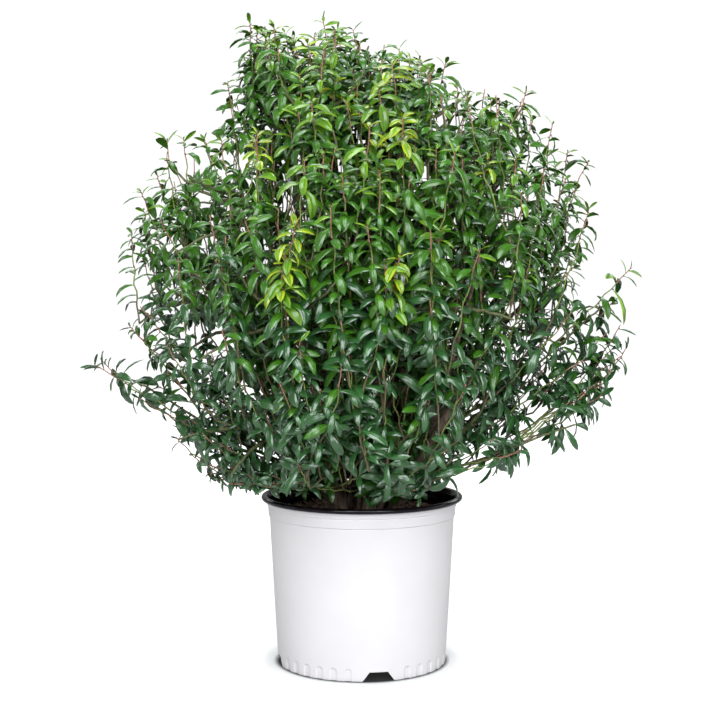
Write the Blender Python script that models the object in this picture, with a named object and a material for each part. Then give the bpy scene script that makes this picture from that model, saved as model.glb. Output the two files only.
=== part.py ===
"""Potted inkberry holly: a round nursery pot, potting bark, six stems, boughs and masses of foliage.

Metres, +Z up, -Y to the front. The origin is the centre of the pot's flat underside.
"""
import math

import bmesh
import bpy
import numpy as np
from mathutils import Matrix, Vector

# Clearance between neighbouring pieces
GAP = 0.0003
UPRIGHT = np.array((0.0, 0.0, 1.0))

# Pot
POT_SIDES = 36
FOOT_RADIUS = 0.1170
BODY_RADIUS = 0.1285
BODY_HEIGHT = 0.2050
BAND_HEIGHT = 0.2180
BAND_STEP = 0.0016
STEP_HEIGHT = 0.0008
BAND_FLARE = 0.0006
LIP_FLARE = 0.0012
LIP_ARC_STEP = 40.0
LIP_UNDERSIDE = 0.2264
LIP_RADIUS = 0.1400
RIM_HEIGHT = 0.2334
WALL = 0.0021
FLOOR_UNDERSIDE = 0.0138
FLOOR_TOP = 0.0160
PAD_RADIUS = 0.0300
NOTCH_AZIMUTH = -79.0
NOTCH_COUNT = 4
NOTCH_HEIGHT = 0.0127
NOTCH_FOOT_WIDTH = 0.0440
NOTCH_TOP_WIDTH = 0.0250
FLUTES_PER_QUARTER = 6
FLUTE_STEP = 10.0
FLUTE_WIDTH = 0.0090
FLUTE_HEIGHT = 0.0170
FLUTE_DEPTH = 0.0011
CUT_IN = 0.012
CUT_OUT = 0.010
CUT_BELOW = 0.002
CORNER_RISE = 0.004

# Potting bark
SOIL_TOP = 0.2090
SOIL_FLAT_RADIUS = 0.0900
SOIL_EDGE_DROP = 0.0030
SOIL_WALL_GAP = 0.0004

# Crown outline: how far it reaches to the left, the right and in depth at each height
OUTLINE_HEIGHT = (0.225, 0.310, 0.430, 0.600, 0.690, 0.725, 0.745, 0.790, 0.850, 0.893)
LEFT_REACH = (0.218, 0.280, 0.328, 0.340, 0.304, 0.268, 0.205, 0.196, 0.174, 0.140)
RIGHT_REACH = (0.135, 0.250, 0.332, 0.322, 0.314, 0.278, 0.258, 0.236, 0.124, 0.020)
DEPTH_REACH = (0.155, 0.255, 0.305, 0.300, 0.275, 0.252, 0.230, 0.196, 0.140, 0.080)
OUTLINE_SQUARENESS = 1.2
CROWN_BASE = 0.2250
CROWN_TOP = 0.8930
TIP_MARGIN = 0.002
POT_CLEARANCE = 0.006
SPACE_STEP = 0.002

# Stems and the tiers of foliage round them
STEM_COUNT = 6
STEM_FIRST_AZIMUTH = -76.0
STEM_FOOT_REACH = 0.040
STEM_LEAN_REACH = 0.082
STEM_LEAN_HEIGHT = 0.500
STEM_UPRIGHT = 0.100
STEM_FOOT_RADIUS = 0.0078
STEM_TIP_RADIUS = 0.0042
ROOT_FLARE = 0.0045
ROOT_FLARE_HEIGHT = 0.022
BOUGH_TIP_RADIUS = 0.0026
TIER_HEIGHT = {"low": 0.338, "mid": 0.492, "high": 0.652, "top": 0.790}
TIER_TURN = {"low": -14.0, "mid": 16.0, "high": -14.0, "top": 16.0}
TIER_SIZE = {"low": 0.150, "mid": 0.162, "high": 0.162, "top": 0.130}
HEART_INSET = 0.68
WALL_SHIFT = 0.35
TIER_RISE = {"low": 14.0, "mid": 30.0, "high": 42.0, "top": 86.0}
BOUGH_HEIGHT = {"low": 0.268, "mid": 0.340, "high": 0.480}
BOUGH_RADIUS = {"low": 0.0044, "mid": 0.0043, "high": 0.0038}
BRANCH_RADIUS = 0.0040
BOUGH_LEVEL = 0.45
BOUGH_FIRST_RISE = 0.30
FOOT_SHARE = 0.85
RIGHT_SHOULDER_DROP = 0.055

# Branches that stand out of the crown: heart, size, tip, height on the stem, stem number
OUTLYING = {
    "left_branch": ((-0.322, -0.045, 0.398), 0.078, (-0.381, -0.050, 0.431), 0.252, 4),
    "right_spike": ((0.318, -0.030, 0.480), 0.092, (0.374, -0.035, 0.547), 0.300, 1),
    "right_branch": ((0.258, -0.120, 0.334), 0.080, (0.326, -0.125, 0.362), 0.250, 1),
}

# Twigs of a mass: how they leave its stem and how far they go in its space
SEED = 11
GOLDEN_TURN = math.radians(137.5)
TWIG_COUNT = 5
TWIG_NEAREST = 38.0
TWIG_FURTHEST = 118.0
TWIG_FIRST = 0.12
TWIG_LAST = 0.85
TWIG_REACH = 0.76
TWIG_LEVEL = 0.55
TWIG_FIRST_RISE = 0.15
STEM_LEAD = 0.40
STEM_POINTS = 4
TWIG_POINTS = 3
TWIG_TESTED_FROM = 0.12
TWIG_TESTS = 16
TWIG_RADIUS = 0.0029
TWIG_TIP_RADIUS = 0.0019

# Leaves of the solids, larger than life, in three ranks on three-sided twigs
LEAVES_PER_MASS = 17
LEAVES_PER_BRANCH = 11
LEAF_LENGTH = 0.080
LEAF_WIDTH = 0.037
LEAF_THICKNESS = 0.0016
LEAF_ARCH = 0.12
LEAF_WIDEST = 0.48
LEAF_SLANT = math.radians(62.0)
LEAF_SPACING = 0.0190
FIRST_LEAF = 0.4
LEAF_SCALES = (1.0, 0.92, 0.84, 0.76, 0.68, 0.60)
LEAF_RANKS = 3
LEAF_SINK = 0.0005
TIP_LEAF_SINK = 0.0012
LEAF_CLEARANCE = 0.0070
LIMB_CLEARANCE = 0.0030
FULL_LEAF_SPACE = 0.120

COLOURS = {
    "pot": ((0.83, 0.83, 0.85), 0.35),
    "potting_bark": ((0.030, 0.018, 0.012), 0.95),
    "bark": ((0.115, 0.080, 0.055), 0.85),
    "leaves": ((0.050, 0.105, 0.030), 0.35),
}


def clear_scene():
    for item in list(bpy.data.objects):
        bpy.data.objects.remove(item, do_unlink=True)


def material_for(name, finish):
    colour, roughness = COLOURS[finish]
    material = bpy.data.materials.new(name)
    material.use_nodes = True
    shader = material.node_tree.nodes["Principled BSDF"]
    shader.inputs["Base Color"].default_value = (*colour, 1.0)
    shader.inputs["Roughness"].default_value = roughness
    shader.inputs["Metallic"].default_value = 0.0
    return material


def object_from(bm, name):
    bmesh.ops.recalc_face_normals(bm, faces=bm.faces)
    mesh = bpy.data.meshes.new(name)
    bm.to_mesh(mesh)
    bm.free()
    return bpy.data.objects.new(name, mesh)


def add_to_scene(item, finish):
    bpy.context.scene.collection.objects.link(item)
    item.data.materials.clear()
    item.data.materials.append(material_for(item.name, finish))
    item.data.shade_smooth()
    item.data.set_sharp_from_angle(angle=math.radians(35.0))
    return item


def turned(name, profile, first_azimuth):
    """Spins a profile of (radius, height) points round Z in POT_SIDES flats, its axis left open."""
    bm = bmesh.new()
    turn = Matrix.Rotation(math.radians(first_azimuth), 3, "Z")
    points = [bm.verts.new(turn @ Vector((radius, 0.0, height))) for radius, height in profile]
    edges = []
    for number in range(len(profile) - 1):
        if profile[number][0] > 0.0 or profile[number + 1][0] > 0.0:
            edges.append(bm.edges.new(points[number:number + 2]))
    bmesh.ops.spin(
        bm,
        geom=points + edges,
        cent=(0.0, 0.0, 0.0),
        axis=(0.0, 0.0, 1.0),
        angle=math.tau,
        steps=POT_SIDES,
        use_merge=True,
    )
    bmesh.ops.remove_doubles(bm, verts=bm.verts, dist=0.00002)
    return object_from(bm, name)


def prism(name, outline, near, far, azimuth):
    """A flat outline of (sideways, height) points, pushed outwards from one radius to another."""
    bm = bmesh.new()
    face = bm.faces.new([bm.verts.new((near, side, height)) for side, height in outline])
    grown = bmesh.ops.extrude_face_region(bm, geom=[face])
    moved = [part for part in grown["geom"] if isinstance(part, bmesh.types.BMVert)]
    bmesh.ops.translate(bm, verts=moved, vec=(far - near, 0.0, 0.0))
    bmesh.ops.rotate(
        bm,
        verts=bm.verts,
        cent=(0.0, 0.0, 0.0),
        matrix=Matrix.Rotation(math.radians(azimuth), 3, "Z"),
    )
    return object_from(bm, name)


def joined(item, others, operation, solver="EXACT"):
    """Applies one Boolean of a collection of other objects, then removes them."""
    tools = bpy.data.collections.new(item.name + "_tools")
    bpy.context.scene.collection.children.link(tools)
    for other in others:
        tools.objects.link(other)
    bpy.context.scene.collection.objects.link(item)
    change = item.modifiers.new("join", "BOOLEAN")
    change.operand_type = "COLLECTION"
    change.collection = tools
    change.operation = operation
    change.solver = solver
    seen = item.evaluated_get(bpy.context.evaluated_depsgraph_get())
    mesh = bpy.data.meshes.new_from_object(seen)
    result = bpy.data.objects.new(item.name + "_done", mesh)
    name = item.name
    for other in list(tools.objects):
        bpy.data.objects.remove(other, do_unlink=True)
    bpy.data.collections.remove(tools)
    bpy.data.objects.remove(item, do_unlink=True)
    result.name = name
    return result


def largest_body(item):
    """Keeps the largest body of a mesh, without loose scraps or sealed hollows."""
    bm = bmesh.new()
    bm.from_mesh(item.data)
    bm.verts.ensure_lookup_table()
    unseen = set(bm.verts)
    bodies = []
    while unseen:
        edge = [unseen.pop()]
        body = set(edge)
        while edge:
            vert = edge.pop()
            near = {link.other_vert(vert) for link in vert.link_edges} & unseen
            unseen -= near
            body |= near
            edge.extend(near)
        bodies.append(body)
    bodies.sort(key=len)
    scraps = [vert for body in bodies[:-1] for vert in body]
    bmesh.ops.delete(bm, geom=scraps, context="VERTS")
    bm.to_mesh(item.data)
    bm.free()


def body_radius(height):
    """Outer radius of the pot's plain body."""
    return FOOT_RADIUS + (BODY_RADIUS - FOOT_RADIUS) * height / BODY_HEIGHT


def pot_profile():
    inner_foot = body_radius(FLOOR_TOP) - WALL
    band = BODY_RADIUS + BAND_STEP
    flare = band + BAND_STEP
    outside = [
        (FOOT_RADIUS, 0.0),
        (body_radius(FLUTE_HEIGHT + CORNER_RISE), FLUTE_HEIGHT + CORNER_RISE),
        (BODY_RADIUS, BODY_HEIGHT),
        (band, BODY_HEIGHT + STEP_HEIGHT),
        (band + BAND_FLARE, BAND_HEIGHT),
        (flare, BAND_HEIGHT + STEP_HEIGHT),
        (flare + LIP_FLARE, LIP_UNDERSIDE),
    ]
    lip_middle = (LIP_UNDERSIDE + RIM_HEIGHT) / 2.0
    half = (RIM_HEIGHT - LIP_UNDERSIDE) / 2.0
    lip = []
    for step in range(-2, 3):
        angle = math.radians(LIP_ARC_STEP * step)
        lip.append((LIP_RADIUS - half + half * math.cos(angle), lip_middle + half * math.sin(angle)))
    inside = [
        (flare, RIM_HEIGHT),
        (flare - WALL, LIP_UNDERSIDE),
        (band - WALL, BODY_HEIGHT + WALL),
        (inner_foot, FLOOR_TOP),
        (0.0, FLOOR_TOP),
    ]
    underside = [
        (0.0, 0.0),
        (PAD_RADIUS, 0.0),
        (PAD_RADIUS, FLOOR_UNDERSIDE),
        (body_radius(FLOOR_UNDERSIDE) - WALL, FLOOR_UNDERSIDE),
        (FOOT_RADIUS - WALL, 0.0),
    ]
    return outside + lip + inside + underside + outside[:1]


def notch_cutters():
    half_foot = NOTCH_FOOT_WIDTH / 2.0
    half_top = NOTCH_TOP_WIDTH / 2.0
    foot = [(-half_foot, -CUT_BELOW), (half_foot, -CUT_BELOW)]
    outline = foot + [(half_top, NOTCH_HEIGHT), (-half_top, NOTCH_HEIGHT)]
    cutters = []
    for number in range(NOTCH_COUNT):
        azimuth = NOTCH_AZIMUTH + 360.0 / NOTCH_COUNT * number
        cutters.append(prism("notch", outline, FOOT_RADIUS - CUT_IN, FOOT_RADIUS + CUT_OUT, azimuth))
    return cutters


def flute_cutters():
    """Shallow upright hollows with round tops, six between each two notches."""
    half = FLUTE_WIDTH / 2.0
    top = [math.radians(45.0 * step) for step in range(5)]
    outline = [(half * math.cos(angle), FLUTE_HEIGHT - half + half * math.sin(angle)) for angle in top]
    outline += [(-half, -CUT_BELOW), (half, -CUT_BELOW)]
    flat = math.cos(math.pi / POT_SIDES)
    near = FOOT_RADIUS * flat - FLUTE_DEPTH
    cutters = []
    for quarter in range(NOTCH_COUNT):
        start = NOTCH_AZIMUTH + 360.0 / NOTCH_COUNT * quarter + 45.0
        for number in range(FLUTES_PER_QUARTER):
            azimuth = start + FLUTE_STEP * (number - (FLUTES_PER_QUARTER - 1) / 2.0)
            cutters.append(prism("flute", outline, near, FOOT_RADIUS + CUT_OUT, azimuth))
    return cutters


def make_pot():
    pot = turned("pot", pot_profile(), NOTCH_AZIMUTH + 360.0 / POT_SIDES / 2.0)
    pot = joined(pot, flute_cutters() + notch_cutters(), "DIFFERENCE")
    add_to_scene(pot, "pot")


def make_soil():
    """Potting bark that fills the pot, its top flat round the stems and lower at the wall."""
    foot = body_radius(FLOOR_TOP) - WALL - SOIL_WALL_GAP
    top = BODY_RADIUS - WALL - SOIL_WALL_GAP
    edge = SOIL_TOP - SOIL_EDGE_DROP
    profile = [
        (0.0, FLOOR_TOP + GAP),
        (foot, FLOOR_TOP + GAP),
        (top, BODY_HEIGHT),
        (top, edge),
        (SOIL_FLAT_RADIUS, SOIL_TOP),
        (0.0, SOIL_TOP),
    ]
    soil = turned("potting_bark", profile, NOTCH_AZIMUTH + 360.0 / POT_SIDES / 2.0)
    add_to_scene(soil, "potting_bark")


def polar(reach, azimuth, height):
    turn = math.radians(azimuth)
    return np.array((reach * math.cos(turn), reach * math.sin(turn), height))


def unit(vector):
    vector = np.asarray(vector, float)
    return vector / np.linalg.norm(vector, axis=-1, keepdims=True)


def crown_reach(points):
    """How far the crown reaches at each point's height and bearing."""
    points = np.atleast_2d(points)
    height = points[:, 2]
    bearing = np.arctan2(points[:, 1], points[:, 0])
    left = np.interp(height, OUTLINE_HEIGHT, LEFT_REACH)
    right = np.interp(height, OUTLINE_HEIGHT, RIGHT_REACH)
    depth = np.interp(height, OUTLINE_HEIGHT, DEPTH_REACH)
    side = np.where(np.cos(bearing) < 0.0, left, right)
    share = np.abs(np.cos(bearing)) ** OUTLINE_SQUARENESS
    return side * share + depth * (1.0 - share)


def in_crown(points):
    points = np.atleast_2d(points)
    reach = np.hypot(points[:, 0], points[:, 1])
    height = points[:, 2]
    over_pot = (height > RIM_HEIGHT + POT_CLEARANCE) | (reach > LIP_RADIUS + POT_CLEARANCE)
    between = (height > CROWN_BASE) & (height < CROWN_TOP)
    return (reach < crown_reach(points)) & between & over_pot


def tier_masses():
    """One mass for each stem in each tier, its heart a mass's width inside the crown's outline."""
    masses = {}
    for tier, height in TIER_HEIGHT.items():
        for stem in range(STEM_COUNT):
            azimuth = STEM_FIRST_AZIMUTH + 360.0 / STEM_COUNT * stem + TIER_TURN[tier]
            lean = math.cos(math.radians(azimuth))
            level = height
            if tier == "top":
                level -= RIGHT_SHOULDER_DROP * max(lean, 0.0)
            size = TIER_SIZE[tier]
            reach = crown_reach(polar(1.0, azimuth, level))[0] - size * HEART_INSET
            heart = polar(reach, azimuth, level)
            rise = math.radians(TIER_RISE[tier])
            way = polar(math.cos(rise), azimuth, math.sin(rise))
            masses[f"{tier}_foliage_{stem + 1}"] = {
                "tier": tier,
                "stem": stem,
                "heart": heart,
                "size": size,
                "way": way,
                "tip": None,
            }
    return masses


def outlying_masses():
    masses = {}
    for name, (heart, size, tip, height, stem) in OUTLYING.items():
        masses[name + "_foliage"] = {
            "tier": name,
            "stem": stem,
            "heart": np.array(heart),
            "size": size,
            "way": unit(np.array(tip) - np.array(heart)),
            "tip": np.array(tip),
            "leaves_stem_at": height,
        }
    return masses


def give_spaces(masses):
    """Each mass keeps to its side of a plane between it and every other mass, further off if larger."""
    for mass in masses.values():
        walls = []
        for other in masses.values():
            if other is mass:
                continue
            apart = other["heart"] - mass["heart"]
            span = np.linalg.norm(apart)
            share = span / 2.0 + WALL_SHIFT * (mass["size"] - other["size"])
            walls.append((*(apart / span), share - GAP))
        mass["walls"] = np.array(walls)
        mass["leaf_length"] = LEAF_LENGTH * min(1.0, mass["size"] / FULL_LEAF_SPACE)
        mass["leaf_count"] = LEAVES_PER_MASS if mass["tip"] is None else LEAVES_PER_BRANCH


def in_space(mass, points):
    points = np.atleast_2d(points)
    out = points - mass["heart"]
    within = np.linalg.norm(out, axis=1) < mass["size"]
    walled = (out @ mass["walls"][:, :3].T < mass["walls"][:, 3]).all(axis=1)
    if mass["tip"] is None:
        return within & walled & in_crown(points)
    return within & walled & (np.abs(points[:, 0]) < abs(mass["tip"][0]) + TIP_MARGIN)


def edge_of_space(mass, way):
    """Distance from the heart to the edge of the space along one direction."""
    steps = np.arange(2.0 * SPACE_STEP, mass["size"] + SPACE_STEP, SPACE_STEP)
    inside = in_space(mass, mass["heart"] + steps[:, None] * way)
    if inside.all():
        return steps[-1]
    return steps[int(np.argmin(inside))]


def bend(start, middle, end, count):
    """Points along the curve that leaves start towards middle and arrives at end."""
    along = np.linspace(0.0, 1.0, count)[:, None]
    return (1.0 - along) ** 2 * start + 2.0 * along * (1.0 - along) * middle + along**2 * end


def stem_path(stem, tip):
    """A stem leaves the bark upright, leans out and ends at its top mass."""
    azimuth = STEM_FIRST_AZIMUTH + 360.0 / STEM_COUNT * stem
    foot = polar(STEM_FOOT_REACH, azimuth, SOIL_TOP + GAP)
    middle = polar(STEM_LEAN_REACH, azimuth, STEM_LEAN_HEIGHT)
    lower = bend(foot, foot + (0.0, 0.0, STEM_UPRIGHT), (foot + middle) / 2.0, 6)
    upper = bend((foot + middle) / 2.0, middle, tip, 7)
    return np.vstack((lower, upper[1:]))


def tapered(path, first, last):
    span = np.r_[0.0, np.cumsum(np.linalg.norm(np.diff(path, axis=0), axis=1))]
    return first + (last - first) * span / span[-1]


def frames_along(path):
    """Direction and two cross directions at each point, carried along without twisting."""
    ways = unit(np.gradient(path, axis=0))
    side = np.cross(ways[0], (0.0, 1.0, 0.0) if abs(ways[0][1]) < 0.8 else (1.0, 0.0, 0.0))
    sides = []
    for way in ways:
        side = side - way * (side @ way)
        side = side / np.linalg.norm(side)
        sides.append(side)
    sides = np.array(sides)
    return ways, sides, np.cross(ways, sides)


def tube(name, path, radii, sides, foot_way=None):
    """A round limb: a ring of points at each place along its path, joined and capped.

    The foot is cut square to foot_way, where one is given.
    """
    ways, across, over = frames_along(path)
    if foot_way is not None:
        across[0] = unit(across[1] - foot_way * (across[1] @ foot_way))
        over[0] = np.cross(foot_way, across[0])
    turns = np.arange(sides) * math.tau / sides
    bm = bmesh.new()
    rings = []
    for place, radius, first, second in zip(path, radii, across, over):
        ring = place + radius * (np.cos(turns)[:, None] * first + np.sin(turns)[:, None] * second)
        rings.append([bm.verts.new(point) for point in ring])
    for lower, upper in zip(rings, rings[1:]):
        for number in range(sides):
            after = (number + 1) % sides
            bm.faces.new((lower[number], lower[after], upper[after], upper[number]))
    bm.faces.new(rings[0][::-1])
    bm.faces.new(rings[-1])
    return object_from(bm, name)


def leaf_points(root, way, upper, length):
    """Root, left, tip, right and ridge of an arched blade that lies along its way."""
    across = np.cross(way, upper)
    half = LEAF_WIDTH / LEAF_LENGTH * length / 2.0
    middle = root + way * length * LEAF_WIDEST + upper * LEAF_ARCH * length
    tip = root + way * length
    ridge = middle + upper * LEAF_THICKNESS
    return np.array((root, middle - across * half, tip, middle + across * half, ridge))


def leaf(name, points):
    """A blade folded across its middle, with a low ridge along its upper face."""
    bm = bmesh.new()
    root, left, tip, right, ridge = [bm.verts.new(point) for point in points]
    bm.faces.new((root, left, right))
    bm.faces.new((left, tip, right))
    for first, second in ((root, right), (right, tip), (tip, left), (left, root)):
        bm.faces.new((first, second, ridge))
    return object_from(bm, name)


def make_stems(masses):
    limbs = []
    stems = []
    for stem in range(STEM_COUNT):
        mass = masses[f"top_foliage_{stem + 1}"]
        azimuth = STEM_FIRST_AZIMUTH + 360.0 / STEM_COUNT * stem
        from_below = unit(polar(STEM_LEAN_REACH, azimuth, STEM_LEAN_HEIGHT + STEM_UPRIGHT) - mass["heart"])
        tip = mass["heart"] + from_below * edge_of_space(mass, from_below) * FOOT_SHARE
        path = stem_path(stem, tip)
        radii = tapered(path, STEM_FOOT_RADIUS, STEM_TIP_RADIUS)
        above = path[:, 2] - path[0, 2]
        radii = radii + ROOT_FLARE * np.exp(-above / ROOT_FLARE_HEIGHT)
        mass["foot"] = tip
        mass["foot_way"] = unit(path[-1] - path[-2])
        mass["foot_radius"] = radii[-1]
        stems.append((path, radii))
        limbs.append((path, radii))
        add_to_scene(tube(f"stem_{stem + 1}", path, radii, 8, UPRIGHT), "bark")
    return stems, limbs


def point_on(path, height):
    return np.array([np.interp(height, path[:, 2], path[:, axis]) for axis in range(3)])


def make_boughs(masses, stems, limbs):
    """A bough leaves its stem's side, its foot cut to the stem, and ends where it enters its mass."""
    for name, mass in masses.items():
        if mass["tier"] == "top":
            continue
        path, radii = stems[mass["stem"]]
        height = mass.get("leaves_stem_at", BOUGH_HEIGHT.get(mass["tier"]))
        start = point_on(path, height)
        back = unit(start - mass["heart"])
        tip = mass["heart"] + back * edge_of_space(mass, back) * FOOT_SHARE
        span = np.linalg.norm(tip - start)
        out = unit((tip - start) * (1.0, 1.0, 0.0))
        rise = np.array((0.0, 0.0, (tip - start)[2] * BOUGH_FIRST_RISE))
        middle = start + out * span * BOUGH_LEVEL + rise
        bough_path = bend(start, middle, tip, 5)
        first = BOUGH_RADIUS.get(mass["tier"], BRANCH_RADIUS)
        bough_radii = tapered(bough_path, first, BOUGH_TIP_RADIUS)
        bough = tube(name.replace("foliage", "bough"), bough_path, bough_radii, 6)
        stem = tube("stem_cutter", path, radii + GAP, 8, UPRIGHT)
        bough = joined(bough, [stem], "DIFFERENCE")
        largest_body(bough)
        add_to_scene(bough, "bark")
        mass["foot"] = tip
        mass["foot_way"] = unit(bough_path[-1] - bough_path[-2])
        mass["foot_radius"] = BOUGH_TIP_RADIUS
        limbs.append((bough_path, bough_radii))


def clear_of_limbs(points, limbs):
    """True if no point lies within the clearance of a stem or a bough."""
    for path, radii in limbs:
        start = path[:-1]
        span = np.diff(path, axis=0)
        away = points[:, None] - start
        share = (away * span).sum(axis=2) / (span * span).sum(axis=1)
        share = np.clip(share, 0.0, 1.0)
        near = np.linalg.norm(away - share[:, :, None] * span, axis=2)
        limit = np.maximum(radii[:-1], radii[1:]) + LIMB_CLEARANCE
        if (near < limit).any():
            return False
    return True


def share_along(line, share):
    """The point at one share of a line's length."""
    ends = np.r_[0.0, np.cumsum(np.linalg.norm(np.diff(line, axis=0), axis=1))]
    return np.array([np.interp(share * ends[-1], ends, line[:, axis]) for axis in range(3)])


def round_way(way, polar_angle, turn):
    """The direction that stands at one angle off a given way, turned round it."""
    side = unit(np.cross(way, (0.0, 0.0, 1.0) if abs(way[2]) < 0.9 else (1.0, 0.0, 0.0)))
    over = np.cross(way, side)
    around = math.cos(turn) * side + math.sin(turn) * over
    return math.cos(polar_angle) * way + math.sin(polar_angle) * around


def twig_curves(mass, turn):
    """The mass's own stem, and side twigs at a golden turn that leave it outwards and bend up."""
    foot = mass["foot"] + mass["foot_way"] * GAP
    tip = mass["tip"]
    if tip is None:
        tip = mass["heart"] + mass["way"] * (edge_of_space(mass, mass["way"]) - TIP_MARGIN)
    last_leaf = min(mass["leaf_length"] - TIP_LEAF_SINK, 0.5 * np.linalg.norm(tip - foot))
    crest = tip - mass["way"] * last_leaf
    lead = foot + mass["foot_way"] * STEM_LEAD * np.linalg.norm(crest - foot)
    stem = (foot, lead, crest)
    line = bend(*stem, STEM_POINTS)
    twigs = []
    for number in range(TWIG_COUNT):
        share = (number + 0.5) / TWIG_COUNT
        off = math.radians(TWIG_NEAREST + (TWIG_FURTHEST - TWIG_NEAREST) * (1.0 - share))
        way = round_way(mass["way"], off, turn + GOLDEN_TURN * number)
        end = mass["heart"] + way * edge_of_space(mass, way) * TWIG_REACH
        start = share_along(line, TWIG_FIRST + (TWIG_LAST - TWIG_FIRST) * share)
        level = (end - start) * (1.0, 1.0, TWIG_FIRST_RISE)
        twigs.append((start, start + level * TWIG_LEVEL, end))
    return stem, twigs


def leaf_places(line, first_rank):
    """Places along a twig from its tip down, on the middle of one of its three flats after another."""
    spans = np.diff(line, axis=0)
    lengths = np.linalg.norm(spans, axis=1)
    ends = np.cumsum(lengths)
    ways, across, over = frames_along(line)
    places = []
    count = int(ends[-1] / LEAF_SPACING - 1.0 + FIRST_LEAF)
    for number in range(count):
        along = ends[-1] - LEAF_SPACING * (number + FIRST_LEAF)
        run = int(np.searchsorted(ends, along))
        share = 1.0 - (ends[run] - along) / lengths[run]
        way = spans[run] / lengths[run]
        side = unit(across[run] * (1.0 - share) + across[run + 1] * share)
        other = unit(over[run] * (1.0 - share) + over[run + 1] * share)
        places.append((line[run] + spans[run] * share, way, side, other, first_rank + number))
    return places


def leaf_probes(points):
    """Points spread over a blade, by which it is kept clear of limbs and of other leaves."""
    root, left, tip, right, ridge = points
    across = left + (right - left) * np.linspace(0.0, 1.0, 5)[:, None]
    rows = [across, tip[None]]
    for first in (root, tip):
        for share in (0.3, 0.55, 0.8):
            rows.append(first + (across - first) * share)
    return np.vstack(rows)


def leaf_fits(mass, limbs, taken, points):
    probes = leaf_probes(points)
    if not in_space(mass, points[1:]).all() or not clear_of_limbs(probes, limbs):
        return False
    return len(taken) == 0 or np.linalg.norm(probes[:, None] - taken, axis=2).min() > LEAF_CLEARANCE


def fitting_leaf(mass, limbs, taken, place, way, across, over, rank):
    """The first blade of a few flats and lengths that keeps to the space and clear of the rest."""
    for scale in LEAF_SCALES:
        for step in range(LEAF_RANKS):
            angle = (rank + step + 0.5) * math.tau / LEAF_RANKS
            out = math.cos(angle) * across + math.sin(angle) * over
            blade = unit(way * math.cos(LEAF_SLANT) + out * math.sin(LEAF_SLANT))
            face = unit(way * math.sin(LEAF_SLANT) - out * math.cos(LEAF_SLANT))
            points = leaf_points(place - out * LEAF_SINK, blade, face, mass["leaf_length"] * scale)
            if leaf_fits(mass, limbs, taken, points):
                return points
    return None


def tip_leaf(mass, limbs, taken, line):
    """The blade that carries a twig on past its end."""
    way = unit(line[-1] - line[-2])
    face = np.cross(unit(np.cross(way, (0.3, 0.2, 1.0))), way)
    for scale in LEAF_SCALES:
        points = leaf_points(line[-1] - way * TIP_LEAF_SINK, way, face, mass["leaf_length"] * scale)
        if leaf_fits(mass, limbs, taken, points):
            return points
    return None


def mass_blades(mass, limbs, lines, rng):
    """Tip leaves first, then each twig in turn gives its next leaf down, until there are enough."""
    taken = np.empty((0, 3))
    blades = []
    places = [leaf_places(line, int(rng.integers(LEAF_RANKS))) for line in lines]
    longest = max(len(row) for row in places)
    ordered = [row[rank] for rank in range(longest) for row in places if rank < len(row)]
    makers = [(tip_leaf, (line,)) for line in lines] + [(fitting_leaf, spot) for spot in ordered]
    for maker, given in makers:
        points = maker(mass, limbs, taken, *given)
        if points is not None:
            blades.append(points)
            taken = np.vstack((taken, leaf_probes(points)))
        if len(blades) == mass["leaf_count"]:
            break
    return blades


def make_mass(name, mass, number, limbs):
    """Twigs that branch from one stem, with leaves that keep to the space, fused into one body."""
    rng = np.random.default_rng(SEED + number)
    stem_curve, twigs = twig_curves(mass, rng.uniform(0.0, math.tau))
    stem_line = bend(*stem_curve, STEM_POINTS)
    stem_radii = tapered(stem_line, mass["foot_radius"], TWIG_TIP_RADIUS)
    stem = tube(name, stem_line, stem_radii, 3, mass["foot_way"])
    parts = []
    lines = [stem_line]
    for twig in twigs:
        line = bend(*twig, TWIG_POINTS)
        shares = np.linspace(TWIG_TESTED_FROM, 1.0, TWIG_TESTS)
        outer = np.array([share_along(line, share) for share in shares])
        if in_space(mass, outer).all() and clear_of_limbs(outer, limbs):
            parts.append(tube("twig", line, tapered(line, TWIG_RADIUS, TWIG_TIP_RADIUS), 3))
            lines.append(line)
    blades = mass_blades(mass, limbs, lines, rng)
    parts += [leaf("leaf", points) for points in blades]
    body = joined(stem, parts, "UNION", "MANIFOLD")
    largest_body(body)
    add_to_scene(body, "leaves")


def main():
    clear_scene()
    make_pot()
    make_soil()
    masses = {**tier_masses(), **outlying_masses()}
    give_spaces(masses)
    stems, limbs = make_stems(masses)
    make_boughs(masses, stems, limbs)
    for number, (name, mass) in enumerate(masses.items()):
        make_mass(name, mass, number, limbs)


main()
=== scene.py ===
"""Looks of the potted inkberry holly: pot, potting bark, stems, shoots and leaves.

Metres, +Z up, -Y to the front. The limbs and the masses of foliage are worked out by the source's
rule from the same sizes, and go on from there to finer shoots with leaves of life size.
"""
import math

import bpy
import numpy as np
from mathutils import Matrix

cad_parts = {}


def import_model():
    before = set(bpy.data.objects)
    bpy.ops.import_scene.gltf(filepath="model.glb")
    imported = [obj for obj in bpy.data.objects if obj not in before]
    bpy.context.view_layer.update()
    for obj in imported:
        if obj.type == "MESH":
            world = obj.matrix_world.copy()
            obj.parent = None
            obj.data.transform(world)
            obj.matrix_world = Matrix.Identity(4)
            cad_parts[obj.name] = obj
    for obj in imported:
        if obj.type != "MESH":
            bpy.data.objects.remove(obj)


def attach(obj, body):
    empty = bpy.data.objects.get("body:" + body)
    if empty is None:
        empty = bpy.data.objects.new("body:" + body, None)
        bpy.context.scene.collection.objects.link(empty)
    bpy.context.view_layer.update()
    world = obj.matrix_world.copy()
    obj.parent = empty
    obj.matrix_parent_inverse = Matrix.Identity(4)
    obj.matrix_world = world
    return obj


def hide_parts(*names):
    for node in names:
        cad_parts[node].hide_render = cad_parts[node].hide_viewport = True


UP = np.array((0.0, 0.0, 1.0))
GAP = 0.0003
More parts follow.
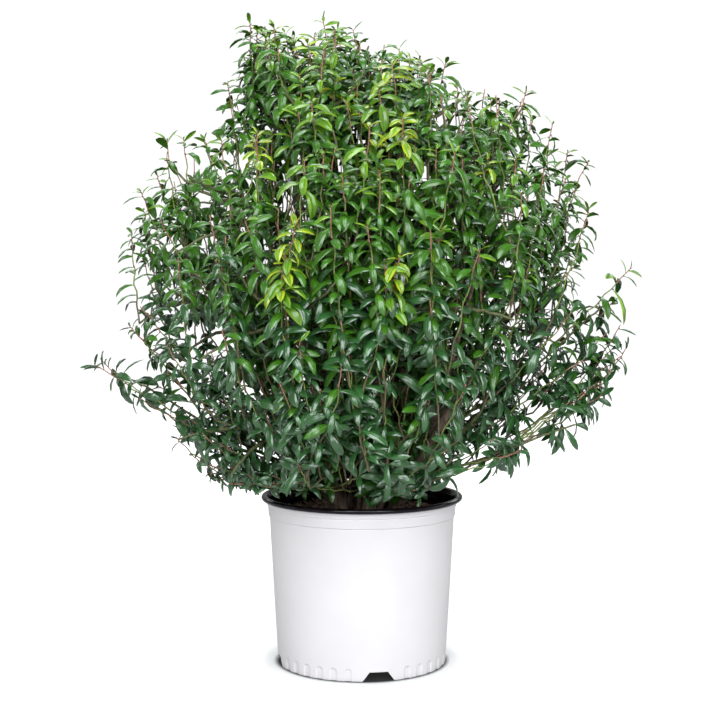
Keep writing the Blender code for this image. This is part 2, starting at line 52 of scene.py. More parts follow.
# How many sine waves make up the ripples of a surface
WAVE_COUNT = 12

# Pot, as in the source
FOOT_RADIUS = 0.1170
BODY_RADIUS = 0.1285
BODY_HEIGHT = 0.2050
BAND_HEIGHT = 0.2180
BAND_STEP = 0.0016
STEP_HEIGHT = 0.0008
BAND_FLARE = 0.0006
LIP_FLARE = 0.0012
LIP_UNDERSIDE = 0.2264
LIP_RADIUS = 0.1400
RIM_HEIGHT = 0.2334
WALL = 0.0021
FLOOR_UNDERSIDE = 0.0138
PAD_RADIUS = 0.0300
NOTCH_AZIMUTH = -79.0
NOTCH_COUNT = 4
NOTCH_HEIGHT = 0.0127
NOTCH_FOOT_WIDTH = 0.0440
NOTCH_TOP_WIDTH = 0.0250
FLUTES_PER_QUARTER = 6
FLUTE_STEP = 10.0
FLUTE_WIDTH = 0.0090
FLUTE_HEIGHT = 0.0170
FLUTE_DEPTH = 0.0011

# Soft corners of the pot's skin
CORNER = 0.0006
CORNER_SINK = 0.0004

# Potting bark
SOIL_TOP = 0.2090
SOIL_EDGE_DROP = 0.0030
SOIL_LUMP = 0.0030
SOIL_SINK = 0.0008
SOIL_HIGHEST = 0.004
SOIL_SKIRT = 0.020
SOIL_EDGE_GAP = 0.0006
SOIL_ROWS = 64
SOIL_COLUMNS = 180
CHIP_COUNT = 900
CHIP_LENGTH = 0.013
CHIP_WIDTHS = (0.15, 0.34)
CHIP_THICKNESS = 0.09
CHIP_HEIGHTS = (-0.003, 0.0025)
CHIP_MARGIN = 0.010
CHIP_CORNERS = (
    (-1.0, -1.0, -1.0), (1.0, -0.7, -1.0), (0.8, 1.0, -1.0), (-0.9, 0.6, -1.0),
    (-0.9, -0.8, 1.0), (0.9, -0.6, 1.0), (0.7, 0.8, 1.0), (-0.8, 0.5, 1.0),
)
CHIP_FACES = (
    (0, 2, 1), (0, 3, 2), (4, 5, 6), (4, 6, 7), (0, 1, 5), (0, 5, 4),
    (1, 2, 6), (1, 6, 5), (2, 3, 7), (2, 7, 6), (3, 0, 4), (3, 4, 7),
)

# Crown outline, as in the source
OUTLINE_HEIGHT = (0.225, 0.310, 0.430, 0.600, 0.690, 0.725, 0.745, 0.790, 0.850, 0.893)
LEFT_REACH = (0.218, 0.280, 0.328, 0.340, 0.304, 0.268, 0.205, 0.196, 0.174, 0.140)
RIGHT_REACH = (0.135, 0.250, 0.332, 0.322, 0.314, 0.278, 0.258, 0.236, 0.124, 0.020)
DEPTH_REACH = (0.155, 0.255, 0.305, 0.300, 0.275, 0.252, 0.230, 0.196, 0.140, 0.080)
OUTLINE_SQUARENESS = 1.2
CROWN_BASE = 0.2250
CROWN_TOP = 0.8930
TIP_MARGIN = 0.002
POT_CLEARANCE = 0.006
SPACE_STEP = 0.002

# Stems and the tiers of foliage round them, as in the source
STEM_COUNT = 6
STEM_FIRST_AZIMUTH = -76.0
STEM_FOOT_REACH = 0.040
STEM_LEAN_REACH = 0.082
STEM_LEAN_HEIGHT = 0.500
STEM_UPRIGHT = 0.100
STEM_FOOT_RADIUS = 0.0078
STEM_TIP_RADIUS = 0.0042
ROOT_FLARE = 0.0045
ROOT_FLARE_HEIGHT = 0.022
BOUGH_TIP_RADIUS = 0.0026
TIER_HEIGHT = {"low": 0.338, "mid": 0.492, "high": 0.652, "top": 0.790}
TIER_TURN = {"low": -14.0, "mid": 16.0, "high": -14.0, "top": 16.0}
TIER_SIZE = {"low": 0.150, "mid": 0.162, "high": 0.162, "top": 0.130}
HEART_INSET = 0.68
WALL_SHIFT = 0.35
TIER_RISE = {"low": 14.0, "mid": 30.0, "high": 42.0, "top": 86.0}
BOUGH_HEIGHT = {"low": 0.268, "mid": 0.340, "high": 0.480}
BOUGH_RADIUS = {"low": 0.0044, "mid": 0.0043, "high": 0.0038}
BOUGH_LEVEL = 0.45
BOUGH_FIRST_RISE = 0.30
FOOT_SHARE = 0.85
RIGHT_SHOULDER_DROP = 0.055
OUTLYING = {
    "left_branch": ((-0.322, -0.045, 0.398), 0.078, (-0.381, -0.050, 0.431), 0.252, 4),
    "right_spike": ((0.318, -0.030, 0.480), 0.092, (0.374, -0.035, 0.547), 0.300, 1),
    "right_branch": ((0.258, -0.120, 0.334), 0.080, (0.326, -0.125, 0.362), 0.250, 1),
}

# Twigs of a mass, as in the source
SEED = 11
GOLDEN_TURN = math.radians(137.5)
TWIG_COUNT = 5
TWIG_NEAREST = 38.0
TWIG_FURTHEST = 118.0
TWIG_FIRST = 0.12
TWIG_LAST = 0.85
TWIG_REACH = 0.76
TWIG_LEVEL = 0.55
TWIG_FIRST_RISE = 0.15
STEM_LEAD = 0.40
TWIG_RADIUS = 0.0029
TWIG_END_RADIUS = 0.0013
SOLID_LEAF = 0.080
FULL_LEAF_SPACE = 0.120
TIP_LEAF_SINK = 0.0012

# Surround: its light as a share of white, and how white the camera sees it
STUDIO_FILL = 0.25
STUDIO_WHITE = 1.05
KEY_COLOUR = (0.93, 0.97, 1.00)
FLOOR_FRONT = -6.0
FLOOR_REACH = 14.0
FLOOR_LEVEL = -0.0004
# Each light's place, the height on the axis that it faces, its size and its power in watts
LIGHTS = {
    "front_overhead": ((0.2, -2.4, 2.3), 0.45, 2.3, 110.0),
    "front_left": ((-1.1, -2.9, 1.1), 0.4, 1.2, 25.0),
    "front_right": ((1.2, -2.9, 0.9), 0.4, 1.2, 24.0),
    "overhead": ((-0.2, 0.8, 2.9), 0.6, 1.6, 38.0),
    "left": ((-2.6, 0.2, 1.5), 0.4, 1.4, 13.0),
    "right": ((2.6, 0.2, 1.4), 0.4, 1.4, 12.0),
    "back_left": ((-1.4, 2.6, 2.1), 0.4, 1.6, 19.0),
    "back_right": ((1.5, 2.5, 2.0), 0.4, 1.6, 18.0),
}

# Camera
CAMERA_LENS = 71.53
CAMERA_SIDE = -0.0026
CAMERA_TILT = 0.05633
VIEW_DISTANCE = 1.983
VIEW_HEIGHT = 0.532

# Relief of the bark: ridges along a limb, and swellings one after another
LIMB_RING_SPACING = 0.0045
RIDGE_DEPTH = 0.075
RIDGE_WAVE = 0.0085
RIDGE_STRETCH = 0.30
KNOT_DEPTH = 0.045
KNOT_WAVE = 0.045

# Finer shoots: how far apart their tips stand, how they get there, and how they point
SHOOT_TRIES = 150
SHELLS = (1.0, 0.97, 0.78, 1.0, 0.60, 0.92, 1.0, 0.42)
SHOOT_SPACING = 0.0245
EDGE_SPREAD = 0.30
FLANK_SPREAD = 1.25
LOW_FLANK_SPREAD = 2.80
UNEVENNESS = 0.30
LOW_SPREAD = 0.95
OUTLYING_SPREAD = 2.6
SPREAD_FROM = 0.55
SPREAD_OVER = 0.40
LOW_HEIGHTS = (0.34, 0.64)
OUTLYING_LEAF_GAP = 1.7
BOUGH_LEAF_GAP = OUTLYING_LEAF_GAP * 0.75
SUCKER_LEAF_GAP = 1.3
SHOOT_FLOOR = 0.262
SHOOT_STRETCH = 0.33
SHOOT_LENGTH = 0.165
SHOOT_LONGEST = 0.260
SHOOT_SHORTEST = 0.020
LENGTH_RANGE = (0.75, 1.25)
SHOOT_LEAD = 0.50
SHOOT_SIDES = 5
SHOOT_FOOT_RADIUS = 0.00135
SHOOT_TIP_RADIUS = 0.00070
SPACE_SLACK = 0.014
SIDE_MARGIN = 0.024
TOP_MARGIN = 0.026
LEAN_HEIGHTS = (0.250, 0.310, 0.450, 0.720)
FRONT_LEANS = (95.0, 48.0, 24.0, 6.0)
FLANK_LEANS = (95.0, 66.0, 48.0, 6.0)
LEAN_SCATTER = 7.0
SIDE_SCATTER = 0.10
TIP_FIRST_STEP = 0.010
TIP_STEP = 0.004
BEND_LIMIT = 0.75
MOST_CROOKED = 0.02
ASIDE_COST = 0.5
CROOK_COST = 4.0
PLAIN_VIGOUR = 0.3
MOST_VIGOUR = 0.86
OUTLYING_RADIUS = 0.0015
OUTLYING_BOUGH_RADIUS = 0.0025

# Tips that stand out of the crown as seen from the front: x and height in millimetres
LEADERS = (
    (-318, 452), (-300, 495), (-308, 560), (-311, 596), (-308, 630), (-298, 652), (-288, 680), (-262, 722),
    (-236, 706), (-212, 722), (-188, 752), (-180, 800), (-164, 846), (-150, 882), (-130, 882), (-103, 868),
    (-80, 858), (-52, 884), (-34, 888), (-12, 872), (12, 848), (50, 846), (84, 842), (112, 826), (134, 790),
    (165, 792), (193, 790), (220, 788), (238, 764), (256, 744), (290, 714), (304, 692), (302, 660),
    (306, 628), (296, 584), (286, 548), (262, 712), (274, 668), (280, 620), (252, 505), (268, 488),
    (236, 470), (262, 452), (230, 438), (276, 430), (248, 412), (222, 400), (264, 392), (236, 378),
    (208, 418), (200, 372), (10, 838), (-136, 890), (-118, 876), (-265, 672), (-250, 640), (-274, 704),
    (-208, 712), (299, 500), (128, 796), (-42, 874), (-140, 872), (203, 778), (-240, 724), (-164, 824),
    (-118, 852), (-152, 850), (-92, 860), (-66, 876), (30, 852), (-306, 622), (-176, 772),
)
LEADER_DEPTH = 0.045
LEADER_VIGOUR = 0.45
LEADER_BASE = 0.55
LEADER_SHARE = 0.98

# Shoots that catch the eye on the front: tip in millimetres, and vigour in hundredths, which sets how
# young they look
FRONT_TIPS = (
    (-129, -216, 711, 100), (-80, -276, 596, 100), (-92, -270, 560, 90), (6, -278, 595, 62),
    (49, -228, 729, 100), (45, -278, 561, 100), (9, -240, 716, 80), (-63, -192, 754, 66),
    (-35, -130, 851, 70), (-48, -150, 822, 75), (-69, -254, 677, 70), (-95, -272, 522, 70),
    (-141, -256, 603, 60), (-25, -282, 481, 60), (-25, -282, 427, 65), (171, -140, 767, 60),
    (213, -74, 771, 55), (98, -192, 758, 60), (131, -176, 759, 50), (197, -208, 636, 50),
    (112, -244, 684, 50), (85, -170, 794, 50), (81, -270, 597, 75), (126, -250, 404, 50),
    (-38, -274, 617, 60), (27, -280, 549, 80), (-186, -230, 610, 50), (-229, -198, 556, 50),
    (-171, -240, 470, 50), (-99, -262, 405, 60), (81, -274, 507, 60), (142, -250, 567, 50),
    (-126, -98, 837, 60), (-109, -114, 834, 50),
)

# Shoots low down and on the outlying branches: tip and vigour in the same units
LOW_TIPS = (
    (-313, -50, 468, 30), (-300, -60, 372, 20), (-262, -70, 352, 20), (360, -40, 440, 40),
    (338, -55, 412, 30), (312, -75, 392, 20), (364, -35, 546, 75), (340, -35, 500, 50), (336, -40, 462, 30),
    (306, -50, 428, 20), (-176, -100, 262, 10), (-205, -60, 270, 10), (-150, -90, 256, 10),
    (271, -120, 372, 40), (300, -105, 388, 20), (318, -85, 378, 20), (258, -115, 362, 30),
    (-205, -90, 285, 10), (-175, -105, 285, 10), (-150, -115, 276, 10), (-118, -142, 280, 10),
    (-96, -150, 274, 10), (36, -136, 284, 30), (85, -124, 288, 45), (60, -128, 268, 30),
    (-210, -110, 330, 10), (-185, -130, 318, 10), (-235, -80, 352, 10), (42, -120, 256, 10),
    (75, -112, 262, 20), (-66, -128, 262, 10), (-90, -112, 256, 10), (-125, -98, 262, 10),
    (-144, -104, 262, 10), (-128, -122, 261, 10), (-168, -90, 262, 10), (-190, -72, 264, 10),
    (-106, -134, 260, 10), (-204, -40, 262, 10), (56, -146, 262, 20), (86, -132, 260, 10),
    (-256, -50, 334, 10), (-232, -40, 292, 10), (-250, -60, 318, 10), (-82, 122, 262, 10),
    (-44, 138, 256, 10), (0, 142, 264, 10), (44, 136, 256, 10), (84, 120, 262, 10), (-118, 88, 258, 10),
    (26, 112, 284, 10), (-30, 110, 284, 10), (339, -40, 436, 30), (30, -132, 260, 20), (68, -138, 258, 20),
    (90, -128, 262, 20), (46, -142, 262, 20), (-76, -138, 262, 10), (193, -100, 290, 10),
    (204, -112, 304, 10), (186, -90, 300, 10), (228, -94, 326, 10), (132, -112, 310, 20),
    (120, -124, 298, 20), (-262, -60, 405, 20), (-276, -40, 386, 10), (172, -110, 322, 20),
    (334, -60, 398, 20), (350, -50, 428, 20), (350, -45, 470, 30), (4, -118, 247, 10), (28, -114, 245, 20),
    (52, -108, 247, 10), (76, -100, 248, 20),
)

# Gaps between the shoots as seen from the front: x, height and reach on the plane through the axis,
# in millimetres
OPEN_SIGHTS = (
    (160, 248, 26), (327, 550, 25), (-347, 450, 16), (-231, 254, 15), (-276, 328, 19), (252, 312, 18),
    (-308, 529, 14), (353, 473, 13), (-363, 385, 13), (359, 392, 12), (-313, 438, 16), (-331, 378, 11),
    (305, 518, 11), (310, 660, 9), (-183, 761, 9), (292, 339, 10), (367, 431, 10), (-302, 346, 9),
    (-222, 649, 9), (286, 550, 8), (20, 861, 14), (270, 739, 11), (134, 806, 6), (-222, 645, 12),
    (-206, 618, 10), (-238, 702, 10), (-285, 712, 9), (-255, 370, 12), (-312, 500, 10), (-290, 412, 9),
    (-309, 638, 8), (-299, 549, 8), (-123, 288, 9), (296, 690, 9), (312, 603, 8), (249, 354, 10),
    (13, 488, 9), (-40, 400, 9), (120, 641, 10), (190, 340, 10), (-121, 748, 10), (-154, 675, 10),
    (-99, 657, 10), (82, 680, 10), (157, 513, 10), (-33, 455, 9), (-214, 594, 10), (228, 700, 10),
    (206, 560, 10), (-238, 470, 10), (-262, 420, 12), (232, 372, 12), (236, 330, 13), (268, 352, 13),
    (206, 322, 10), (278, 462, 12), (268, 500, 11), (270, 405, 11), (-318, 560, 9), (-288, 462, 10),
    (-206, 320, 11), (-170, 300, 9), (-248, 300, 12), (180, 298, 9),
)
# Smaller gaps scattered over the crown's middle: how many, the field they fall in, and their reach
SPECK_COUNT = 90
SPECK_FIELD = ((-0.27, 0.27), (0.33, 0.80))
SPECK_REACH = (0.0085, 0.0130)
# Gaps in the front leaves alone, where the stems behind them show
OPEN_WINDOWS = (
    (80, 292, 16), (96, 316, 18), (112, 342, 17), (48, 350, 14), (50, 372, 12), (120, 440, 12),
    (128, 466, 14), (136, 492, 12), (-10, 282, 14), (-30, 262, 14), (-22, 316, 10),
)
# The lowest leaves as seen from the front, in the same way: x and height
LOW_OUTLINE = (
    (-363, 370), (-330, 362), (-285, 340), (-265, 272), (-240, 262), (-215, 224), (-48, 220), (-36, 244),
    (-12, 248), (-2, 214), (85, 214), (125, 224), (136, 262), (145, 284), (165, 280), (182, 270),
    (190, 252), (220, 250), (230, 292), (242, 322), (275, 338), (306, 342), (331, 362), (365, 390),
)
LOW_OUTLINE_RIPPLE = 0.008
TIP_RISE = 0.012
WINDOW_DEPTH = -0.022

# Thin stems: some that lean, through three places each, and a ring that rises from the bark
SUCKER_COUNT = 10
LEANING_STEMS = (
    ((0.040, -0.040, 0.205), (0.078, -0.110, 0.300), (0.150, -0.150, 0.430)),
    ((0.050, -0.020, 0.205), (0.064, -0.070, 0.330), (0.050, -0.090, 0.450)),
    ((0.090, -0.080, 0.330), (0.112, -0.190, 0.420), (0.146, -0.215, 0.560)),
)
LEANING_RADII = (0.0082, 0.0070, 0.0042)
SUCKER_FOOT_RADII = (0.0030, 0.0052)
SUCKER_TIP_RADIUS = 0.0020
SUCKER_TURN = (-9.0, 9.0)
SUCKER_FEET = (0.024, 0.066)
SUCKER_SINK = 0.004
SUCKER_ENDS = (0.125, 0.180)
SUCKER_SWING = (-40.0, 40.0)
SUCKER_TOPS = (0.300, 0.385)
SUCKER_LEAD = 0.42
SUCKER_RISE = (0.45, 0.75)

# Leaves of life size, in a spiral round each shoot
LEAF_LENGTH = 0.0356
LEAF_SHAPE = 0.290
LEAVES_PER_SHOOT = 46
OUTLYING_LEAF_SIZE = 1.16
WANDER = 0.0020
WANDER_SPAN = 0.15
WANDER_WAVES = (3.1, 4.3)
FACE_TURN = math.radians(44.0)
FACE_RISE = 0.25
FRONT_TURN = 0.40
INNER_SHARE = 0.40
INNER_REACH = 0.60
INNER_TOP = 0.700
TWIG_BARE_TIP = 0.30
LEAF_FLOOR = 0.217
DROOP_LEAVES = 7.0
LEAST_DROOP = 0.08
# Where along a leaf its middle lies, and how far out and down its tip is taken to reach
LEAF_MIDDLE = 0.45
TIP_ALONG = 0.8
TIP_DROP = 0.5
# What grows from the tip down: the topmost leaf's, the step from leaf to leaf, and the most
LEAF_SPACING = (0.0015, 0.00048, 0.0048)
LEAF_ANGLE = (30.0, 7.0, 66.0)
LEAF_SIZE = (0.44, 0.100, 1.0)
LEAF_CURL = (0.95, 0.14, 1.80)
# What changes with height: two heights, and the value at each
ANGLE_SCATTER = ((0.30, 0.55), (19.0, 12.0))
LEAF_DROOP = ((0.26, 0.54), (0.30, 0.14))
FACE_SCATTER = ((0.30, 0.50), (0.46, 0.28))
LENGTH_BY_HEIGHT = ((0.30, 0.70), (1.08, 0.98))
WIDTH_BY_HEIGHT = ((0.28, 0.50), (0.88, 1.0))
CURL_BY_HEIGHT = ((0.28, 0.48), (0.94, 1.0))
SHARE_BY_HEIGHT = ((0.30, 0.52), (0.76, 1.0))
# What differs from leaf to leaf: the least and the most
DROOP_RANGE = (0.1, 1.7)
ROLL_RANGE = (0.2, 1.2)
SIZE_RANGE = (0.74, 1.20)
CURL_RANGE = (0.65, 1.25)
# Blade: rows along it and columns across half of it, as shares, and how its halves swell
LEAF_ROWS = np.array((0.0, 0.13, 0.36, 0.62, 0.86, 1.0))
LEAF_COLUMNS = (0.52, 1.0)
PLAIN_LEAF_COLUMNS = (1.0,)
LEAF_CREST = 0.62
LEAF_FALL = 0.86
MIDRIB_WIDTH = 0.0009
MIDRIB_RISE = 0.00022
MIDRIB_GLOSS = 0.45
# Buds
BUD_REACH = 0.0015
BUD_ALONG = 0.0016
BUD_ABOVE = 0.0008
BUD_FACES = ((0, 1, 2), (1, 3, 2), (3, 4, 2), (4, 0, 2), (1, 0, 5), (3, 1, 5), (4, 3, 5), (0, 4, 5))
BUDDED_LEAVES = 16
BUDDED_REACH = 0.75

# Finishes of the leaves, from the youngest to those deep inside
LEAF_COLOURS = {
    "young": (0.118, 0.240, 0.009),
    "fresh": (0.073, 0.192, 0.008),
    "warm": (0.034, 0.124, 0.005),
    "cool": (0.021, 0.084, 0.018),
    # deep: inside the crown, a tone set for the shade there: painted shade and painted light
    "deep": (0.026, 0.100, 0.008),
}
EDGE_COLOURS = {
    "young": (0.330, 0.410, 0.012),
    "fresh": (0.140, 0.275, 0.010),
}
COOL_SHINE = (0.28, 0.40, 0.19)
WARM_FROM = 0.50
DEEP_TOP = 0.80
PIECE_LIMIT = 195000
# Order of a triangle's corners that turns it over
FLIPPED = (1, 0, 2)


def leaf_profile(share):
    """Half-width of a blade along its length, as a share of the widest: wedge at the root, blunt tip."""
    return np.sin(math.pi * np.clip(share, 0.0, 1.0) ** 1.18) ** 0.66


def metres(table):
    """A table in whole millimetres as an array in metres."""
    return np.array(table) / 1000.0


def by_height(points, heights, values):
    """A value read from its run over the heights, for each point."""
    return np.interp(points[:, 2], heights, values)


def grown(number, first, step, most):
    """A measure that grows by a step from leaf to leaf, up to its most."""
    return np.minimum(first + step * number, most)


def polar(reach, azimuth, height):
    """A place given by its reach from the axis, its azimuth in degrees and its height."""
    turn = math.radians(azimuth)
    return np.array((reach * math.cos(turn), reach * math.sin(turn), height))


def unit(vectors):
    """The same directions, each of length one."""
    vectors = np.asarray(vectors, float)
    return vectors / np.linalg.norm(vectors, axis=-1, keepdims=True)


def crown_reach(points):
    """How far the crown reaches at each point's height and bearing."""
    points = np.atleast_2d(points)
    sideways = np.cos(np.arctan2(points[:, 1], points[:, 0]))
    reaches = (LEFT_REACH, RIGHT_REACH, DEPTH_REACH)
    left, right, depth = (by_height(points, OUTLINE_HEIGHT, reach) for reach in reaches)
    side = np.where(sideways < 0.0, left, right)
    share = np.abs(sideways) ** OUTLINE_SQUARENESS
    return side * share + depth * (1.0 - share)


def in_crown(points):
    """Whether each point lies inside the crown's outline and clear of the pot."""
    points = np.atleast_2d(points)
    reach = np.hypot(points[:, 0], points[:, 1])
    height = points[:, 2]
    over_pot = (height > RIM_HEIGHT + POT_CLEARANCE) | (reach > LIP_RADIUS + POT_CLEARANCE)
    between = (height > CROWN_BASE) & (height < CROWN_TOP)
    return (reach < crown_reach(points)) & between & over_pot


def outwardness(points):
    """How far out each point lies, as a share of the crown's reach there."""
    points = np.atleast_2d(points)
    return np.hypot(points[:, 0], points[:, 1]) / crown_reach(points)


def stem_azimuth(stem):
    """Where a stem stands round the pot, in degrees."""
    return STEM_FIRST_AZIMUTH + 360.0 / STEM_COUNT * stem


def new_mass(tier, stem, heart, size, way, leaves_stem_at, tip=None):
    """A mass of foliage: its heart and size, which way its own stem points, and its limb."""
    return {
        "tier": tier, "stem": stem, "heart": heart, "size": size, "way": way,
        "leaves_stem_at": leaves_stem_at, "tip": tip,
    }


def tier_masses():
    """One mass for each stem in each tier, its heart a mass's width inside the crown's outline."""
    masses = {}
    for tier, height in TIER_HEIGHT.items():
        for stem in range(STEM_COUNT):
            azimuth = stem_azimuth(stem) + TIER_TURN[tier]
            level = height
            if tier == "top":
                level -= RIGHT_SHOULDER_DROP * max(math.cos(math.radians(azimuth)), 0.0)
            size = TIER_SIZE[tier]
            reach = crown_reach(polar(1.0, azimuth, level))[0] - size * HEART_INSET
            rise = math.radians(TIER_RISE[tier])
            way = polar(math.cos(rise), azimuth, math.sin(rise))
            mass = new_mass(tier, stem, polar(reach, azimuth, level), size, way, BOUGH_HEIGHT.get(tier))
            masses[f"{tier}_foliage_{stem + 1}"] = mass
    return masses


def outlying_masses():
    """The masses of the branches that stand out of the crown, each with a tip of its own."""
    masses = {}
    for name, (heart, size, tip, height, stem) in OUTLYING.items():
        heart, tip = np.array(heart), np.array(tip)
        masses[name + "_foliage"] = new_mass(name, stem, heart, size, unit(tip - heart), height, tip)
    return masses


def give_spaces(masses):
    """Each mass keeps to its side of a plane between it and every other mass, further off if larger."""
    for mass in masses.values():
        walls = []
        for other in masses.values():
            if other is mass:
                continue
            apart = other["heart"] - mass["heart"]
            span = np.linalg.norm(apart)
            share = span / 2.0 + WALL_SHIFT * (mass["size"] - other["size"])
            walls.append((*(apart / span), share - GAP))
        mass["walls"] = np.array(walls)
        mass["leaf_length"] = SOLID_LEAF * min(1.0, mass["size"] / FULL_LEAF_SPACE)


def in_space(mass, points, slack=0.0):
    """Whether each point lies in a mass's space, or no further outside it than the slack."""
    points = np.atleast_2d(points)
    out = points - mass["heart"]
    within = np.linalg.norm(out, axis=1) < mass["size"] + slack
    walled = (out @ mass["walls"][:, :3].T < mass["walls"][:, 3] + slack).all(axis=1)
    if mass["tip"] is None:
        return within & walled & in_crown(points)
    return within & walled & (np.abs(points[:, 0]) < abs(mass["tip"][0]) + TIP_MARGIN)


def edge_of_space(mass, way):
    """Distance from the heart to the edge of the space along one direction."""
    steps = np.arange(2.0 * SPACE_STEP, mass["size"] + SPACE_STEP, SPACE_STEP)
    inside = in_space(mass, mass["heart"] + steps[:, None] * way)
    if inside.all():
        return steps[-1]
    return steps[int(np.argmin(inside))]


def toward_edge(mass, way, share):
    """The point at one share of the way from a mass's heart to the edge of its space."""
    return mass["heart"] + way * edge_of_space(mass, way) * share


def on_curve(start, middle, end, along):
    """Places on the curve that leaves start towards middle and arrives at end."""
    return (1.0 - along) ** 2 * start + 2.0 * along * (1.0 - along) * middle + along**2 * end


def bend(start, middle, end, count):
    """A number of points along one such curve."""
    return on_curve(start, middle, end, np.linspace(0.0, 1.0, count)[:, None])


def stem_path(stem, tip, lower_count=6, upper_count=7):
    """A stem leaves the bark upright, leans out and ends at its top mass."""
    azimuth = stem_azimuth(stem)
    foot = polar(STEM_FOOT_REACH, azimuth, SOIL_TOP + GAP)
    middle = polar(STEM_LEAN_REACH, azimuth, STEM_LEAN_HEIGHT)
    lower = bend(foot, foot + (0.0, 0.0, STEM_UPRIGHT), (foot + middle) / 2.0, lower_count)
    upper = bend((foot + middle) / 2.0, middle, tip, upper_count)
    return np.vstack((lower, upper[1:]))


def lengths_along(path):
    """How far along a path each of its points lies."""
    return np.r_[0.0, np.cumsum(np.linalg.norm(np.diff(path, axis=0), axis=1))]


def read_path(at, marks, path):
    """The places on a path at some values of a measure, given that measure at the path's points."""
    return np.stack([np.interp(at, marks, path[:, axis]) for axis in range(3)], axis=-1)


def tapered(path, first, last):
    """Radii that go evenly from the first to the last along a path."""
    span = lengths_along(path)
    return first + (last - first) * span / span[-1]


def share_along(line, share):
    """The point at one share of a line's length."""
    ends = lengths_along(line)
    return read_path(share * ends[-1], ends, line)


def round_way(way, polar_angle, turn):
    """The direction that stands at one angle off a given way, turned round it."""
    side = unit(np.cross(way, (0.0, 0.0, 1.0) if abs(way[2]) < 0.9 else (1.0, 0.0, 0.0)))
    over = np.cross(way, side)
    around = math.cos(turn) * side + math.sin(turn) * over
    return math.cos(polar_angle) * way + math.sin(polar_angle) * around


def enter_mass(mass, tip, path, radius):
    """Notes where a limb enters its mass, which way it points there and how thick it is."""
    mass.update(foot=tip, foot_way=unit(path[-1] - path[-2]), foot_radius=radius)


def grow_stems(masses):
    """The source's stems: coarse paths for the boughs to start from, fine paths and radii to show."""
    coarse = []
    shown = []
    for stem in range(STEM_COUNT):
        mass = masses[f"top_foliage_{stem + 1}"]
        azimuth = stem_azimuth(stem)
        from_below = unit(polar(STEM_LEAN_REACH, azimuth, STEM_LEAN_HEIGHT + STEM_UPRIGHT) - mass["heart"])
        tip = toward_edge(mass, from_below, FOOT_SHARE)
        path = stem_path(stem, tip)
        enter_mass(mass, tip, path, STEM_TIP_RADIUS)
        coarse.append(path)
        fine = stem_path(stem, tip, 16, 24)
        radii = tapered(fine, STEM_FOOT_RADIUS, STEM_TIP_RADIUS)
        radii = radii + ROOT_FLARE * np.exp(-(fine[:, 2] - fine[0, 2]) / ROOT_FLARE_HEIGHT)
        shown.append((f"stem_{stem + 1}", fine, radii))
    return coarse, shown


def grow_boughs(masses, stems):
    """The source's boughs, each from its stem to where it enters its mass."""
    shown = []
    for name, mass in masses.items():
        if mass["tier"] == "top":
            continue
        stem = stems[mass["stem"]]
        start = read_path(mass["leaves_stem_at"], stem[:, 2], stem)
        tip = toward_edge(mass, unit(start - mass["heart"]), FOOT_SHARE)
        span = np.linalg.norm(tip - start)
        out = unit((tip - start) * (1.0, 1.0, 0.0))
        rise = np.array((0.0, 0.0, (tip - start)[2] * BOUGH_FIRST_RISE))
        curve = (start, start + out * span * BOUGH_LEVEL + rise, tip)
        enter_mass(mass, tip, bend(*curve, 5), BOUGH_TIP_RADIUS)
        fine = bend(*curve, 18)
        ends = (BOUGH_RADIUS.get(mass["tier"]), BOUGH_TIP_RADIUS)
        if mass["tip"] is not None:
            ends = (OUTLYING_BOUGH_RADIUS, OUTLYING_RADIUS)
            mass["bough"] = curve
        shown.append((name.replace("foliage", "bough"), fine, tapered(fine, *ends)))
    return shown


def twig_curves(mass, turn):
    """The mass's own stem, and side twigs at a golden turn that leave it outwards and bend up."""
    foot = mass["foot"]
    tip = mass["tip"]
    if tip is None:
        tip = mass["heart"] + mass["way"] * (edge_of_space(mass, mass["way"]) - TIP_MARGIN)
    last_leaf = min(mass["leaf_length"] - TIP_LEAF_SINK, 0.5 * np.linalg.norm(tip - foot))
    crest = tip - mass["way"] * last_leaf
    lead = foot + mass["foot_way"] * STEM_LEAD * np.linalg.norm(crest - foot)
    line = bend(foot, lead, crest, 4)
    twigs = []
    for number in range(TWIG_COUNT):
        share = (number + 0.5) / TWIG_COUNT
        off = math.radians(TWIG_NEAREST + (TWIG_FURTHEST - TWIG_NEAREST) * (1.0 - share))
        end = toward_edge(mass, round_way(mass["way"], off, turn + GOLDEN_TURN * number), TWIG_REACH)
        start = share_along(line, TWIG_FIRST + (TWIG_LAST - TWIG_FIRST) * share)
        level = (end - start) * (1.0, 1.0, TWIG_FIRST_RISE)
        twigs.append((start, start + level * TWIG_LEVEL, end))
    return (foot, lead, crest), twigs


def spiral_ways(count, turn):
    """Directions spread evenly over a sphere on a golden spiral."""
    number = np.arange(count) + 0.5
    height = 1.0 - 2.0 * number / count
    ring = np.sqrt(1.0 - height**2)
    around = GOLDEN_TURN * number + turn
    return np.stack((ring * np.cos(around), ring * np.sin(around), height), axis=1)


def radial(points):
    """Level directions away from the pot's axis."""
    level = np.atleast_2d(points) * (1.0, 1.0, 0.0)
    return level / np.maximum(np.linalg.norm(level, axis=1, keepdims=True), 1e-6)


